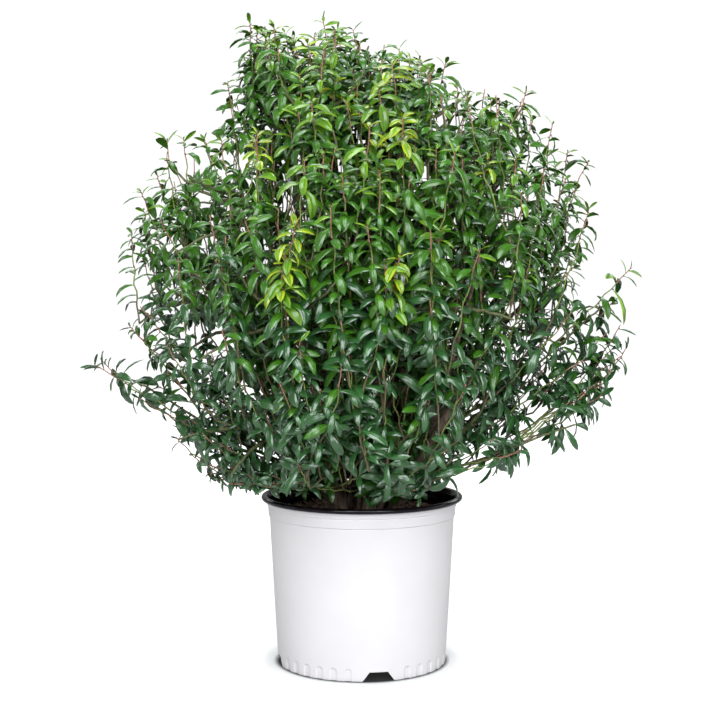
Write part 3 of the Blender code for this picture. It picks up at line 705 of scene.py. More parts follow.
def shoot_tips(mass, rng):
    """Tips on a golden spiral of directions, each as far out in its shell as its leaves have room."""
    ways = spiral_ways(SHOOT_TRIES, rng.uniform(0.0, math.tau))
    rng.shuffle(ways)
    steps = np.arange(TIP_FIRST_STEP, mass["size"] + SPACE_SLACK, TIP_STEP)
    tips = []
    for number, way in enumerate(ways):
        line = mass["heart"] + steps[:, None] * way
        room = in_space(mass, line, SPACE_SLACK)
        if mass["tip"] is None:
            room &= in_crown(line + radial(line) * SIDE_MARGIN + UP * TOP_MARGIN)
        else:
            room &= in_space(mass, line + np.sign(mass["tip"][0]) * SIDE_MARGIN * np.array((1.0, 0.0, 0.0)))
        if not room[0]:
            continue
        furthest = steps[-1] if room.all() else steps[int(np.argmin(room))]
        tips.append(mass["heart"] + way * furthest * SHELLS[number % len(SHELLS)] * rng.uniform(0.88, 1.0))
    return tips


def tip_way(tip, rng):
    """Which way a shoot points at its tip: upright in the top, leaning out low down and far out."""
    outward = min(outwardness(tip)[0], 1.0)
    flank = tip[0] ** 2 / (tip[0] ** 2 + tip[1] ** 2)
    front_lean = np.interp(tip[2], LEAN_HEIGHTS, FRONT_LEANS)
    flank_lean = np.interp(tip[2], LEAN_HEIGHTS, FLANK_LEANS)
    lean = (front_lean + (flank_lean - front_lean) * flank) * outward
    lean = math.radians(max(lean + rng.normal(0.0, LEAN_SCATTER), 0.0))
    side = rng.normal(0.0, SIDE_SCATTER, 3) * (1.0, 1.0, 0.0)
    return unit(UP * math.cos(lean) + (radial(tip)[0] + side) * math.sin(lean) + side)


def leader_tips(masses):
    """The named tips, each dealt to the mass whose heart is nearest for its size."""
    def distance(name, tip):
        return np.linalg.norm(tip - masses[name]["heart"]) / masses[name]["size"]

    leaders = []
    for number, (x, height) in enumerate(metres(LEADERS)):
        height = min(height, LEADER_BASE + LEADER_SHARE * (height - LEADER_BASE))
        leaders.append((np.array((x, LEADER_DEPTH * (-1) ** number, height)), LEADER_VIGOUR))
    named = [(metres(place), vigour / 100.0) for *place, vigour in FRONT_TIPS + LOW_TIPS]
    tiers = [name for name in masses if masses[name]["tip"] is None]
    dealt = {name: [] for name in masses}
    for homes, tips in ((tiers, leaders), (list(masses), named)):
        for tip, vigour in tips:
            near = min(homes, key=lambda name: distance(name, tip))
            dealt[near].append((tip, vigour))
    return dealt


def seen_place(points):
    """Where each point is seen from the front: x and height on the plane through the axis."""
    points = np.atleast_2d(points)
    scale = VIEW_DISTANCE / (VIEW_DISTANCE + points[:, 1])
    return points[:, 0] * scale, VIEW_HEIGHT + (points[:, 2] - VIEW_HEIGHT) * scale


def above_low_outline(points, rise):
    """Whether each point is seen above the crown's lowest leaves, by a rise."""
    across, height = seen_place(points)
    return height > np.interp(across, *metres(LOW_OUTLINE).T) + rise


def all_sights():
    """The named gaps and the scattered ones."""
    rng = np.random.default_rng(SEED)
    places = [rng.uniform(*field, SPECK_COUNT) for field in (*SPECK_FIELD, SPECK_REACH)]
    return np.vstack((metres(OPEN_SIGHTS), np.stack(places, axis=1)))


def in_open_sight(points):
    """Whether each point, seen from the front, falls in one of the gaps."""
    points = np.atleast_2d(points)
    across, height = seen_place(points)
    x, z, reach = all_sights().T
    inside = (np.hypot(across[:, None] - x, height[:, None] - z) < reach).any(axis=1)
    for x, z, reach in metres(OPEN_WINDOWS):
        inside |= (np.hypot(across - x, height - z) < reach) & (points[:, 1] < WINDOW_DEPTH)
    return inside


def spread(mass, tip):
    """How much wider apart shoots stand than inside: more so far out, low down and on branches."""
    if mass["tip"] is not None:
        return OUTLYING_SPREAD
    outward = np.clip((outwardness(tip)[0] - SPREAD_FROM) / SPREAD_OVER, 0.0, 1.0)
    low = np.interp(tip[2], LOW_HEIGHTS, (1.0, 0.0))
    flank = (tip[0] / np.hypot(tip[0], tip[1])) ** 2
    uneven = max(1.0 + UNEVENNESS * ripples(tip, 21, 0.11), 0.6)
    share = LOW_SPREAD * low + EDGE_SPREAD + FLANK_SPREAD * flank + LOW_FLANK_SPREAD * low * flank
    return (1.0 + share * outward) * uneven


def limb(curve, leaf_gap, vigour, rng, radius=None):
    """A shoot, twig or thin stem: its curve and radius, how far apart its leaves stand, four draws."""
    return {"curve": curve, "leaf_gap": leaf_gap, "vigour": vigour, "radius": radius, "rng": rng.random(4)}


def grow_shoots(masses):
    """Each mass's stem and twigs by the source's rule, then finer shoots that branch from them.

    A shoot is left out where its tip falls in a gap, below the lowest leaves or too near another.
    """
    twigs = []
    tips = []
    taken = np.empty((0, 3))
    crowding = np.array((1.0, 1.0, SHOOT_STRETCH)) / SHOOT_SPACING
    leaders = leader_tips(masses)
    for number, (name, mass) in enumerate(masses.items()):
        rng = np.random.default_rng(SEED + number)
        stem, side_twigs = twig_curves(mass, rng.uniform(0.0, math.tau))
        if mass["tip"] is None:
            leaf_gap = 1.0
            twigs.append(limb(stem, leaf_gap, PLAIN_VIGOUR, rng, mass["foot_radius"]))
            clear = [twig for twig in side_twigs if above_low_outline(twig[2], TIP_RISE)[0]]
            twigs += [limb(twig, leaf_gap, PLAIN_VIGOUR, rng, TWIG_RADIUS) for twig in clear]
        else:
            leaf_gap = OUTLYING_LEAF_GAP
            twigs.append(limb(stem, leaf_gap, PLAIN_VIGOUR, rng, OUTLYING_RADIUS))
        for tip, vigour in leaders[name]:
            tips.append((tip, vigour, leaf_gap))
            taken = np.vstack((taken, tip))
        for tip in shoot_tips(mass, rng):
            if tip[2] < SHOOT_FLOOR or in_open_sight(tip)[0] or not above_low_outline(tip, TIP_RISE)[0]:
                continue
            if len(taken) and np.linalg.norm((taken - tip) * crowding, axis=1).min() < spread(mass, tip):
                continue
            tips.append((tip, rng.random() * MOST_VIGOUR, leaf_gap))
            taken = np.vstack((taken, tip))
    return twigs, branch_to(tips, np.vstack([bend(*twig["curve"], 16)[1:] for twig in twigs]))


def branch_to(tips, pool):
    """Shoots to all tips, from the lowest up, out of a pool of places that they can start from.

    Each starts at the place that lies closest to one shoot's length behind its tip, and isn't grown
    where that would crook it, or where it would hang below the lowest leaves.
    """
    rng = np.random.default_rng(SEED)
    shoots = []
    tips.sort(key=lambda grown_tip: grown_tip[0][2])
    for tip, vigour, leaf_gap in tips:
        way = tip_way(tip, rng)
        length = SHOOT_LENGTH * rng.uniform(*LENGTH_RANGE)
        behind = (tip - pool) @ way
        aside = np.linalg.norm(tip - pool - behind[:, None] * way, axis=1)
        crooked = np.maximum(aside - BEND_LIMIT * behind, 0.0)
        cost = np.linalg.norm(pool - (tip - way * length), axis=1) + ASIDE_COST * aside + CROOK_COST * crooked
        nearest = int(np.argmin(cost))
        start = pool[nearest]
        span = np.linalg.norm(tip - start)
        if span > SHOOT_LONGEST or span < SHOOT_SHORTEST or crooked[nearest] > MOST_CROOKED:
            continue
        middle = tip - way * span * SHOOT_LEAD
        middle[2] = max(middle[2], min(start[2], tip[2]))
        curve = (start, middle, tip)
        if not above_low_outline(bend(*curve, 9), -TIP_RISE).all():
            continue
        pool = np.vstack((pool, bend(*curve, 15)[1:9]))
        shoots.append(limb(curve, leaf_gap, vigour, rng))
    return shoots


def grow_suckers():
    """Thin stems from the bark, some leaning, the rest out to the low masses, with leaves further out."""
    rng = np.random.default_rng(SEED)
    suckers = []
    for places, radius in zip(LEANING_STEMS, LEANING_RADII):
        suckers.append(limb(np.array(places), SUCKER_LEAF_GAP, PLAIN_VIGOUR, rng, radius))
    for number in range(SUCKER_COUNT):
        azimuth = STEM_FIRST_AZIMUTH + 360.0 / SUCKER_COUNT * (number + 0.4) + rng.uniform(*SUCKER_TURN)
        foot = polar(rng.uniform(*SUCKER_FEET), azimuth, SOIL_TOP - SUCKER_SINK)
        reach = rng.uniform(*SUCKER_ENDS)
        swung = azimuth + rng.uniform(*SUCKER_SWING)
        end = polar(reach, swung, rng.uniform(*SUCKER_TOPS))
        lead = foot + (end - foot) * (SUCKER_LEAD, SUCKER_LEAD, rng.uniform(*SUCKER_RISE))
        radius = rng.uniform(*SUCKER_FOOT_RADII)
        suckers.append(limb((foot, lead, end), SUCKER_LEAF_GAP, PLAIN_VIGOUR, rng, radius))
    return suckers


def planar_frames(paths):
    """Directions and two cross directions along many curves at once, each curve flat in its plane."""
    ways = unit(np.gradient(paths, axis=1))
    chord = paths[:, -1] - paths[:, 0]
    plane = np.cross(ways[:, 0], chord)
    spare = np.cross(chord, np.where(np.abs(unit(chord)[:, 2:]) < 0.9, UP, (1.0, 0.0, 0.0)))
    flat = np.linalg.norm(plane, axis=1, keepdims=True) > 1e-4 * np.linalg.norm(chord, axis=1, keepdims=True)
    sides = unit(np.where(flat, plane, spare))[:, None, :]
    sides = unit(sides - ways * (sides * ways).sum(axis=2, keepdims=True))
    return ways, sides, np.cross(ways, sides)


def as_one(points, triangles):
    """Many equal things as one mesh, from an array of points for each and the triangles of one."""
    shift = np.arange(len(points)) * points.shape[1]
    return points.reshape(-1, 3), (np.array(triangles)[None] + shift[:, None, None]).reshape(-1, 3)


def rings(first, second, sides):
    """Circles of directions, one in the plane of each pair of cross directions."""
    turns = np.arange(sides) * math.tau / sides
    return np.cos(turns)[:, None] * first[..., None, :] + np.sin(turns)[:, None] * second[..., None, :]


def tubes(paths, radii, sides):
    """Many tubes at once: rings of points square to each path, closed by a point at either end."""
    count, places = paths.shape[:2]
    ways, first, second = planar_frames(paths)
    points = paths[:, :, None, :] + radii[:, :, None, None] * rings(first, second, sides)
    tips = paths[:, -1:] + ways[:, -1:] * radii[:, -1:, None]
    points = np.concatenate((points.reshape(count, -1, 3), paths[:, :1], tips), axis=1)
    return as_one(points, ring_triangles(places, sides))


def fan(first, columns, pole):
    """Triangles from each side of a closed row of points to one more point."""
    here = np.arange(columns)
    return np.stack((first + here, first + (here + 1) % columns, np.full(columns, pole)), -1)


def ring_triangles(places, sides):
    """A tube's grid of triangles, with a fan at either end."""
    foot = fan(0, sides, places * sides)[:, FLIPPED]
    tip = fan((places - 1) * sides, sides, places * sides + 1)
    return np.vstack((lathe_triangles(places, sides), foot, tip))


def shoot_paths(shoots, shares):
    """Places along shoots at the given shares: each curve, with small bends to and fro along it."""
    curves = np.array([shoot["curve"] for shoot in shoots])[:, :, None]
    start, middle, end = curves[:, 0], curves[:, 1], curves[:, 2]
    chance = np.array([shoot["rng"] for shoot in shoots])[:, None, :]
    along = np.asarray(shares)[None, :, None]
    side = unit(np.cross(end - start, UP + (0.3, 0.2, 0.0)))
    over = unit(np.cross(end - start, side))
    first = np.sin(math.tau * (WANDER_WAVES[0] * along + chance[:, :, :1]))
    second = np.sin(math.tau * (WANDER_WAVES[1] * along + chance[:, :, 2:3]))
    reach = WANDER * np.minimum(np.linalg.norm(end - start, axis=2, keepdims=True) / WANDER_SPAN, 1.0)
    sway = reach * np.sin(math.pi * along) * (first * side + second * over)
    return on_curve(start, middle, end, along) + sway


def leaf_spiral(shoot, bare=0.12, first=0, bare_tip=0.0):
    """Places, directions, sizes and bends of a shoot's leaves, from the tip down.

    Leaf number first is the topmost, so that a twig of the source starts with grown leaves. Each
    leaf leans off the shoot by an angle that grows down the spiral, droops, and rolls its face
    towards the outside of the crown. Leaves in the gaps and below the lowest ones are left out.
    """
    chance = shoot["rng"]
    gap = shoot["leaf_gap"]
    number = np.arange(first, LEAVES_PER_SHOOT + first)
    down = np.cumsum(grown(number, *LEAF_SPACING)) * gap
    path = shoot_paths([shoot], np.linspace(0.0, 1.0, 24))[0]
    reach = np.linalg.norm(np.diff(path, axis=0), axis=1).sum()
    down = (down - down[0] + bare_tip * reach) * (0.86 + 0.34 * chance[3])
    kept = down < reach * (1.0 - bare)
    number = number[kept]
    count = len(number)
    at = np.clip(1.0 - down[kept] / reach, 0.0, 1.0) * (len(path) - 1)
    root = read_path(at, np.arange(len(path)), path)
    ways, first_side, second_side = (frame[0] for frame in planar_frames(path[None]))
    place = np.clip(at.astype(int), 0, len(path) - 1)
    turn = GOLDEN_TURN * number + chance[0] * math.tau
    around = np.cos(turn)[:, None] * first_side[place] + np.sin(turn)[:, None] * second_side[place]
    generator = np.random.default_rng(int(chance[1] * 1e9))
    off = grown(number, *LEAF_ANGLE) + generator.normal(0.0, 1.0, count) * by_height(root, *ANGLE_SCATTER)
    off = np.radians(off)[:, None]
    way = ways[place] * np.cos(off) + around * np.sin(off)
    droop = by_height(root, *LEAF_DROOP) * np.clip(number / DROOP_LEAVES, LEAST_DROOP, 1.0)
    way = unit(way - UP * (droop * generator.uniform(*DROOP_RANGE, count))[:, None])
    face = ways[place] * np.sin(off) - around * np.cos(off)
    sway = by_height(root, *FACE_SCATTER)[:, None]
    face = face + UP * FACE_RISE + generator.normal(0.0, 1.0, (count, 3)) * sway
    face = unit(face - way * (face * way).sum(axis=1, keepdims=True))
    outside = unit(radial(root) - (0.0, FRONT_TURN, 0.0))
    roll = FACE_TURN * (np.cross(way, face) * outside).sum(axis=1) * generator.uniform(*ROLL_RANGE, count)
    size = grown(number, *LEAF_SIZE) * generator.uniform(*SIZE_RANGE, count)
    length = LEAF_LENGTH * size * (0.86 + 0.26 * chance[2]) * by_height(root, *LENGTH_BY_HEIGHT)
    if gap == OUTLYING_LEAF_GAP:
        length = length * OUTLYING_LEAF_SIZE
    curl = grown(number, *LEAF_CURL) * generator.uniform(*CURL_RANGE, count)
    curl = curl * by_height(root, *CURL_BY_HEIGHT)
    found = {
        "root": root, "way": way, "face": face, "roll": roll,
        "length": length, "curl": curl, "number": number,
    }
    tips = root + way * (length * TIP_ALONG)[:, None] - UP * (length * TIP_DROP)[:, None]
    ripple = LOW_OUTLINE_RIPPLE * ripples(root, 9, 0.05)
    share = by_height(root, *SHARE_BY_HEIGHT) if gap == 1.0 else 1.0
    share = np.where((outwardness(root) < INNER_REACH) & (root[:, 2] < INNER_TOP), INNER_SHARE, share)
    clear = (np.minimum(tips[:, 2], root[:, 2]) > LEAF_FLOOR) & (generator.random(count) < share)
    if gap != OUTLYING_LEAF_GAP:
        clear &= above_low_outline(tips, ripple) & above_low_outline(root, ripple)
    clear &= ~in_open_sight(root + way * (length * LEAF_MIDDLE)[:, None])
    return {key: value[clear] for key, value in found.items()}


def blades(leaves, columns):
    """Leaf blades: each midrib is an arc that turns away from the face, each half swells beside it.

    A point of the arc at share t lies length * sin(curl t) / curl along the leaf's way and
    length * (1 - cos(curl t)) / curl below it. The blade is rolled about the arc, to face out of
    the crown. A point at share c of the half-width stands half-width * (crest c - fall c squared)
    off the arc's face, so that the edges roll back.
    """
    angle = leaves["curl"][:, None] * LEAF_ROWS
    scale = (leaves["length"] / leaves["curl"])[:, None]
    way = leaves["way"][:, None, :]
    face = leaves["face"][:, None, :]
    along = (scale * np.sin(angle))[:, :, None]
    behind = (scale * (1.0 - np.cos(angle)))[:, :, None]
    rib = leaves["root"][:, None, :] + way * along - face * behind
    lift = face * np.cos(angle)[:, :, None] + way * np.sin(angle)[:, :, None]
    side = np.cross(way, face)
    roll = leaves["roll"][:, None, None]
    normal = lift * np.cos(roll) + side * np.sin(roll)
    across = side * np.cos(roll) - lift * np.sin(roll)
    width = leaves["length"] * LEAF_SHAPE * by_height(leaves["root"], *WIDTH_BY_HEIGHT)
    half = (width / 2.0)[:, None, None] * leaf_profile(LEAF_ROWS)[None, :, None]
    halves = []
    for hand in (-1.0, 1.0):
        lines = [rib]
        for share in columns:
            swell = half * (LEAF_CREST * share - LEAF_FALL * share**2)
            line = rib + hand * across * half * share + normal * swell
            lines.append(line[:, 1:-1])
        halves.append(np.concatenate(lines, axis=1))
    one = half_blade_triangles(len(LEAF_ROWS), len(columns))
    both = np.vstack((one, one[:, ::-1] + halves[0].shape[1]))
    return *as_one(np.concatenate(halves, axis=1), both), midribs(rib, normal, across, leaves["length"])


def half_blade_triangles(rows, columns):
    """Triangles between a midrib of rows points and the lines beside it, which share its two ends."""
    inner = rows + np.arange(columns * (rows - 2)).reshape(columns, -1)
    ends = np.zeros((columns, 1), int)
    return squares(np.vstack((np.arange(rows), np.hstack((ends, inner, ends + rows - 1)))))


def midribs(rib, normal, across, length):
    """A narrow strip along each midrib, a little proud of the blade, that narrows to a point.

    Its left points are numbered before the right ones, and the point at the tip comes last.
    """
    rows = rib.shape[1]
    raised = rib + normal * MIDRIB_RISE
    half = MIDRIB_WIDTH / 2.0 * (1.0 - LEAF_ROWS)[None, :, None] * (length / LEAF_LENGTH)[:, None, None]
    left = (raised - across * half)[:, :-1]
    right = (raised + across * half)[:, :-1]
    row = np.arange(rows)
    grid = np.minimum(np.stack((row, row + rows - 1), axis=1), 2 * rows - 2)
    grid[-1] = 2 * rows - 2
    return as_one(np.concatenate((left, right, rib[:, -1:]), axis=1), squares(grid))


def buds(leaves):
    """A small eight-sided bud in the angle above each leaf's root."""
    way = leaves["way"]
    face = leaves["face"]
    centre = leaves["root"] + way * BUD_ALONG + face * BUD_ABOVE
    axes = np.stack((way * 0.6 + face * 0.9, np.cross(way, face), way), axis=1) * BUD_REACH
    points = np.concatenate((centre[:, None] + axes, centre[:, None] - axes * 0.8), axis=1)
    return as_one(points, BUD_FACES)


def add_object(name, data):
    """A new object in the scene, at the origin and unturned."""
    item = bpy.data.objects.new(name, data)
    bpy.context.scene.collection.objects.link(item)
    return item


def mesh_piece(name, points, triangles, material, slot, smooth=True):
    """One object of the given points and triangles, which rides with the plant."""
    mesh = bpy.data.meshes.new(name)
    mesh.vertices.add(len(points))
    mesh.vertices.foreach_set("co", np.ascontiguousarray(points, np.float32).ravel())
    mesh.loops.add(triangles.size)
    mesh.loops.foreach_set("vertex_index", np.ascontiguousarray(triangles, np.int32).ravel())
    mesh.polygons.add(len(triangles))
    mesh.polygons.foreach_set("loop_start", np.arange(0, triangles.size, 3, dtype=np.int32))
    mesh.update(calc_edges=True)
    mesh.polygons.foreach_set("use_smooth", np.full(len(triangles), smooth))
    mesh.materials.append(material)
    item = add_object(name, mesh)
    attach(item, "root")
    return item


class Socket:
    """A value in a material: Python arithmetic on it adds Math nodes."""

    def __init__(self, tree, output):
        self.tree = tree
        self.output = output

    def math(self, operation, other):
        return add_node(self.tree, "ShaderNodeMath", {"operation": operation}, {0: self, 1: other})

    def __add__(self, other):
        return self.math("ADD", other)

    __radd__ = __add__

    def __mul__(self, other):
        return self.math("MULTIPLY", other)

    __rmul__ = __mul__

    def part(self, name):
        """Another output of the same node."""
        return Socket(self.tree, self.output.node.outputs[name])


def add_node(tree, kind, settings=None, values=None):
    """A node of one kind: its settings first, then the values or links of its sockets."""
    node = tree.nodes.new(kind)
    for key, value in (settings or {}).items():
        if key == "stops":
            set_stops(node.color_ramp, value)
        else:
            setattr(node, key, value)
    for key, value in (values or {}).items():
        if isinstance(value, Socket):
            tree.links.new(value.output, node.inputs[key])
        else:
            node.inputs[key].default_value = value
    shown = [output for output in node.outputs if output.enabled]
    return Socket(tree, shown[0])


def set_stops(ramp, stops):
    """Sets a colour ramp's stops, each a place and a colour."""
    while len(ramp.elements) < len(stops):
        ramp.elements.new(0.5)
    for element, (place, colour) in zip(ramp.elements, stops):
        element.position = place
        element.color = (*colour, 1.0)


def noise(tree, scale, detail, stretch=(1.0, 1.0, 1.0)):
    """A noise value over the object, stretched along an axis where asked."""
    place = add_node(tree, "ShaderNodeTexCoord").part("Object")
    moved = add_node(tree, "ShaderNodeMapping", None, {"Vector": place, "Scale": stretch})
    return add_node(tree, "ShaderNodeTexNoise", None, {"Vector": moved, "Scale": scale, "Detail": detail})


def ramp(tree, value, *stops):
    """A colour read from its stops by a value."""
    return add_node(tree, "ShaderNodeValToRGB", {"stops": stops}, {"Fac": value})


def bump(tree, height, strength, distance):
    """A relief for the Normal socket, from a height."""
    values = {"Height": height, "Strength": strength, "Distance": distance}
    return add_node(tree, "ShaderNodeBump", None, values)


def finish(name, build, **constants):
    """A material: its own constants on the shader, and what build returns for the sockets that vary."""
    material = bpy.data.materials.new(name)
    material.use_nodes = True
    tree = material.node_tree
    shader = tree.nodes["Principled BSDF"]
    for key, value in constants.items():
        shader.inputs[key.replace("_", " ")].default_value = value
    for key, value in build(tree).items():
        tree.links.new(value.output, shader.inputs[key])
    return material


def leaf_finish(name, colour, gloss=0.30, sheen=0.16, coat_gloss=0.22):
    """Glossy leaf: one base colour, a little lighter and darker from leaf to leaf, faint ripples."""
    def build(tree):
        patches = noise(tree, 34.0, 1.0)
        dark = tuple(channel * 0.72 for channel in colour)
        light = tuple(min(channel * 1.22, 1.0) for channel in colour)
        veins = noise(tree, 420.0, 1.0)
        return {
            "Base Color": ramp(tree, patches, (0.32, dark), (0.52, colour), (0.70, light)),
            "Normal": bump(tree, veins, 0.08, 0.0005),
        }
    return finish(name, build, Roughness=gloss, Coat_Weight=0.72, Coat_Roughness=coat_gloss,
                  Coat_IOR=1.60, IOR=1.55, Specular_IOR_Level=sheen)


def bark_finish(name, pale, dark, scale=260.0):
    """Bark: grain drawn out along the height and fine specks, from dark to pale, in relief."""
    def build(tree):
        grain = noise(tree, scale, 4.0, (1.0, 1.0, 0.22))
        specks = noise(tree, scale * 3.0, 2.0)
        return {
            "Base Color": ramp(tree, grain * 0.75 + specks * 0.25, (0.38, dark), (0.62, pale)),
            "Normal": bump(tree, grain, 0.7, 0.0010),
        }
    return finish(name, build, Roughness=0.80, IOR=1.45)


def white_plastic():
    """Satin white plastic: faint smudges in colour and gloss, a finely pebbled surface."""
    def build(tree):
        orange_peel = noise(tree, 900.0, 2.0)
        smudge = noise(tree, 14.0, 3.0)
        return {
            "Base Color": ramp(tree, smudge, (0.30, (0.684, 0.654, 0.660)), (0.66, (0.712, 0.682, 0.688))),
            "Roughness": smudge * 0.12 + 0.28,
            "Normal": bump(tree, orange_peel, 0.12, 0.0004),
        }
    return finish("white_plastic", build, IOR=1.49)


def black_plastic():
    """Glossy black plastic with scuffs, which are paler and duller."""
    def build(tree):
        scuff = noise(tree, 60.0, 4.0)
        return {
            "Base Color": ramp(tree, scuff, (0.35, (0.002, 0.001, 0.002)), (0.75, (0.007, 0.004, 0.007))),
            "Roughness": scuff * 0.12 + 0.08,
        }
    return finish("black_plastic", build, IOR=1.33)


def bark_mix(name, pale, dark):
    """Moist bark: crumbs and larger lumps, from dark to pale, in relief."""
    def build(tree):
        crumbs = noise(tree, 320.0, 5.0)
        lumps = noise(tree, 60.0, 2.0)
        return {
            "Base Color": ramp(tree, crumbs * 0.7 + lumps * 0.3, (0.36, dark), (0.66, pale)),
            "Normal": bump(tree, crumbs, 0.9, 0.0015),
        }
    return finish(name, build, Roughness=0.90, IOR=1.40)


def body_radius(height):
    """Outer radius of the pot's plain body."""
    return FOOT_RADIUS + (BODY_RADIUS - FOOT_RADIUS) * height / BODY_HEIGHT


def eased(profile, radius):
    """A profile with each inner corner rounded by a curve of four points and about the given radius."""
    profile = np.array(profile)
    points = [profile[0]]
    for before, corner, after in zip(profile, profile[1:], profile[2:]):
        back, on = (corner + (end - corner) * min(radius / np.linalg.norm(end - corner), 0.45)
                    for end in (before, after))
        points += list(bend(back, corner, on, 4))
    points.append(profile[-1])
    return np.array(points)


def squares(grid):
    """Two triangles for each square of a grid of point numbers, without those that have no area."""
    a, b, c, d = grid[:-1, :-1], grid[:-1, 1:], grid[1:, 1:], grid[1:, :-1]
    triangles = np.stack((np.stack((a, b, c), -1), np.stack((a, c, d), -1)), axis=2).reshape(-1, 3)
    return triangles[(triangles != np.roll(triangles, 1, axis=1)).all(axis=1)]


def lathe_triangles(rows, columns):
    """The triangles of a skin of rows of points, each of which closes on itself."""
    grid = np.arange(rows * columns).reshape(rows, columns)
    return squares(np.hstack((grid, grid[:, :1])))


def smooth_step(value, first, last):
    """From 0 at the first value to 1 at the last, level at both: 3 s squared less 2 s cubed."""
    share = np.clip((value - first) / (last - first), 0.0, 1.0)
    return share * share * (3.0 - 2.0 * share)


def off_middle(turns, middle):
    """How far each azimuth stands off the nearest of the four directions a quarter turn apart."""
    quarter = math.tau / NOTCH_COUNT
    return (turns - middle + quarter / 2.0) % quarter - quarter / 2.0


def notch_rise(turns):
    """How high the foot's edge stands at each azimuth: a trapezoid at each of the four notches."""
    side = np.abs(off_middle(turns, math.radians(NOTCH_AZIMUTH))) * FOOT_RADIUS
    share = (NOTCH_FOOT_WIDTH / 2.0 - side) / ((NOTCH_FOOT_WIDTH - NOTCH_TOP_WIDTH) / 2.0)
    return NOTCH_HEIGHT * np.clip(share, 0.0, 1.0)


def flute_depth(turns, height):
    """Depth of the shallow round-topped hollows at each azimuth and height."""
    off = off_middle(turns, math.radians(NOTCH_AZIMUTH) + math.tau / NOTCH_COUNT / 2.0)
    step = math.radians(FLUTE_STEP)
    last = (FLUTES_PER_QUARTER - 1) / 2.0
    number = np.clip(np.round(off / step - 0.5) + 0.5, -last, last)
    side = (off - number * step) * FOOT_RADIUS
    half = FLUTE_WIDTH / 2.0
    above = np.maximum(height - (FLUTE_HEIGHT - half), 0.0)
    away = np.hypot(side, above)
    return FLUTE_DEPTH * (1.0 - smooth_step(away, half - 0.0010, half + 0.0002))


def make_pot(white, black):
    """The pot's skin: white outside up to the lip, black lip and lining, each turned from a profile."""
    # Azimuths every half degree, which the flutes need
    turns = np.radians(np.arange(0.0, 360.0, 0.5) + NOTCH_AZIMUTH)
    band = BODY_RADIUS + BAND_STEP
    flare = band + BAND_STEP
    low = np.linspace(0.0, FLUTE_HEIGHT + 0.004, 24)
    foot_rows = np.stack((body_radius(low), low), axis=1)
    upper = eased([
        foot_rows[-1],
        (BODY_RADIUS, BODY_HEIGHT - CORNER),
        (BODY_RADIUS - CORNER_SINK, BODY_HEIGHT),
        (band, BODY_HEIGHT + STEP_HEIGHT),
        (band + BAND_FLARE, BAND_HEIGHT - CORNER),
        (band + BAND_FLARE - CORNER_SINK, BAND_HEIGHT),
        (flare, BAND_HEIGHT + STEP_HEIGHT),
        (flare + LIP_FLARE, LIP_UNDERSIDE),
    ], CORNER)
    outer = np.vstack((foot_rows, upper[1:]))
    inside_foot = [
        (FOOT_RADIUS - WALL, 0.0),
        (body_radius(FLOOR_UNDERSIDE) - WALL, FLOOR_UNDERSIDE),
        (PAD_RADIUS, FLOOR_UNDERSIDE),
        (PAD_RADIUS, 0.0),
    ]
    under = eased(inside_foot, 0.0008)[::-1]
    outside = with_pole(*turned_skin(np.vstack((under, outer)), turns, len(under)), len(turns), 0.0)
    skin = mesh_piece("pot_skin", *outside, white, "pot")
    lip_middle = (LIP_UNDERSIDE + RIM_HEIGHT) / 2.0
    half = (RIM_HEIGHT - LIP_UNDERSIDE) / 2.0
    arc = np.radians(np.linspace(-100.0, 90.0, 20))
    lip = np.stack((LIP_RADIUS - half + half * np.cos(arc), lip_middle + half * np.sin(arc)), axis=1)
    inner = eased([
        (LIP_RADIUS - half, RIM_HEIGHT),
        (flare + 0.0008, RIM_HEIGHT - CORNER),
        (flare - WALL, LIP_UNDERSIDE),
        (band - WALL, BODY_HEIGHT + WALL),
        (body_radius(SOIL_TOP - 0.012) - WALL, SOIL_TOP - 0.012),
    ], 0.0010)
    lining = turned_skin(np.vstack((outer[-1:], lip, inner)), turns[::2])
    mesh_piece("pot_lip_and_lining", *lining, black, "pot")
    return skin


def turned_skin(profile, turns, under_rows=None):
    """Turns a profile of (radius, height) round Z, with the flutes and notches where it has a foot."""
    radius = np.repeat(profile[:, :1], len(turns), axis=1)
    height = np.repeat(profile[:, 1:], len(turns), axis=1)
    if under_rows is not None:
        lifted = np.maximum(height, notch_rise(turns)[None])
        at_pad = radius < PAD_RADIUS + 0.001
        outer = np.arange(len(profile))[:, None] >= under_rows
        radius = np.where(outer & (lifted > height), body_radius(lifted), radius)
        height = np.where(at_pad, height, lifted)
        radius = radius - np.where(outer, flute_depth(turns[None], height), 0.0)
    points = np.stack((radius * np.cos(turns), radius * np.sin(turns), height), axis=2)
    return points.reshape(-1, 3), lathe_triangles(len(profile), len(turns))


def ripples(points, seed, wave):
    """A sum of sine waves in random directions over the points, about -1 to 1."""
    rng = np.random.default_rng(seed)
    ways = unit(rng.normal(0.0, 1.0, (WAVE_COUNT, 3)))
    lengths = wave * rng.uniform(0.5, 1.8, WAVE_COUNT)
    phases = rng.uniform(0.0, math.tau, WAVE_COUNT)
    return np.sin(points @ ways.T * (math.tau / lengths) + phases).sum(axis=-1) / math.sqrt(WAVE_COUNT)


def with_pole(points, triangles, columns, height, upward=False):
    """A skin with its first row closed by a fan to a point on the axis, facing down or up."""
    closing = fan(0, columns, len(points))
    if not upward:
        closing = closing[:, FLIPPED]
    return np.vstack((points, (0.0, 0.0, height))), np.vstack((triangles, closing))


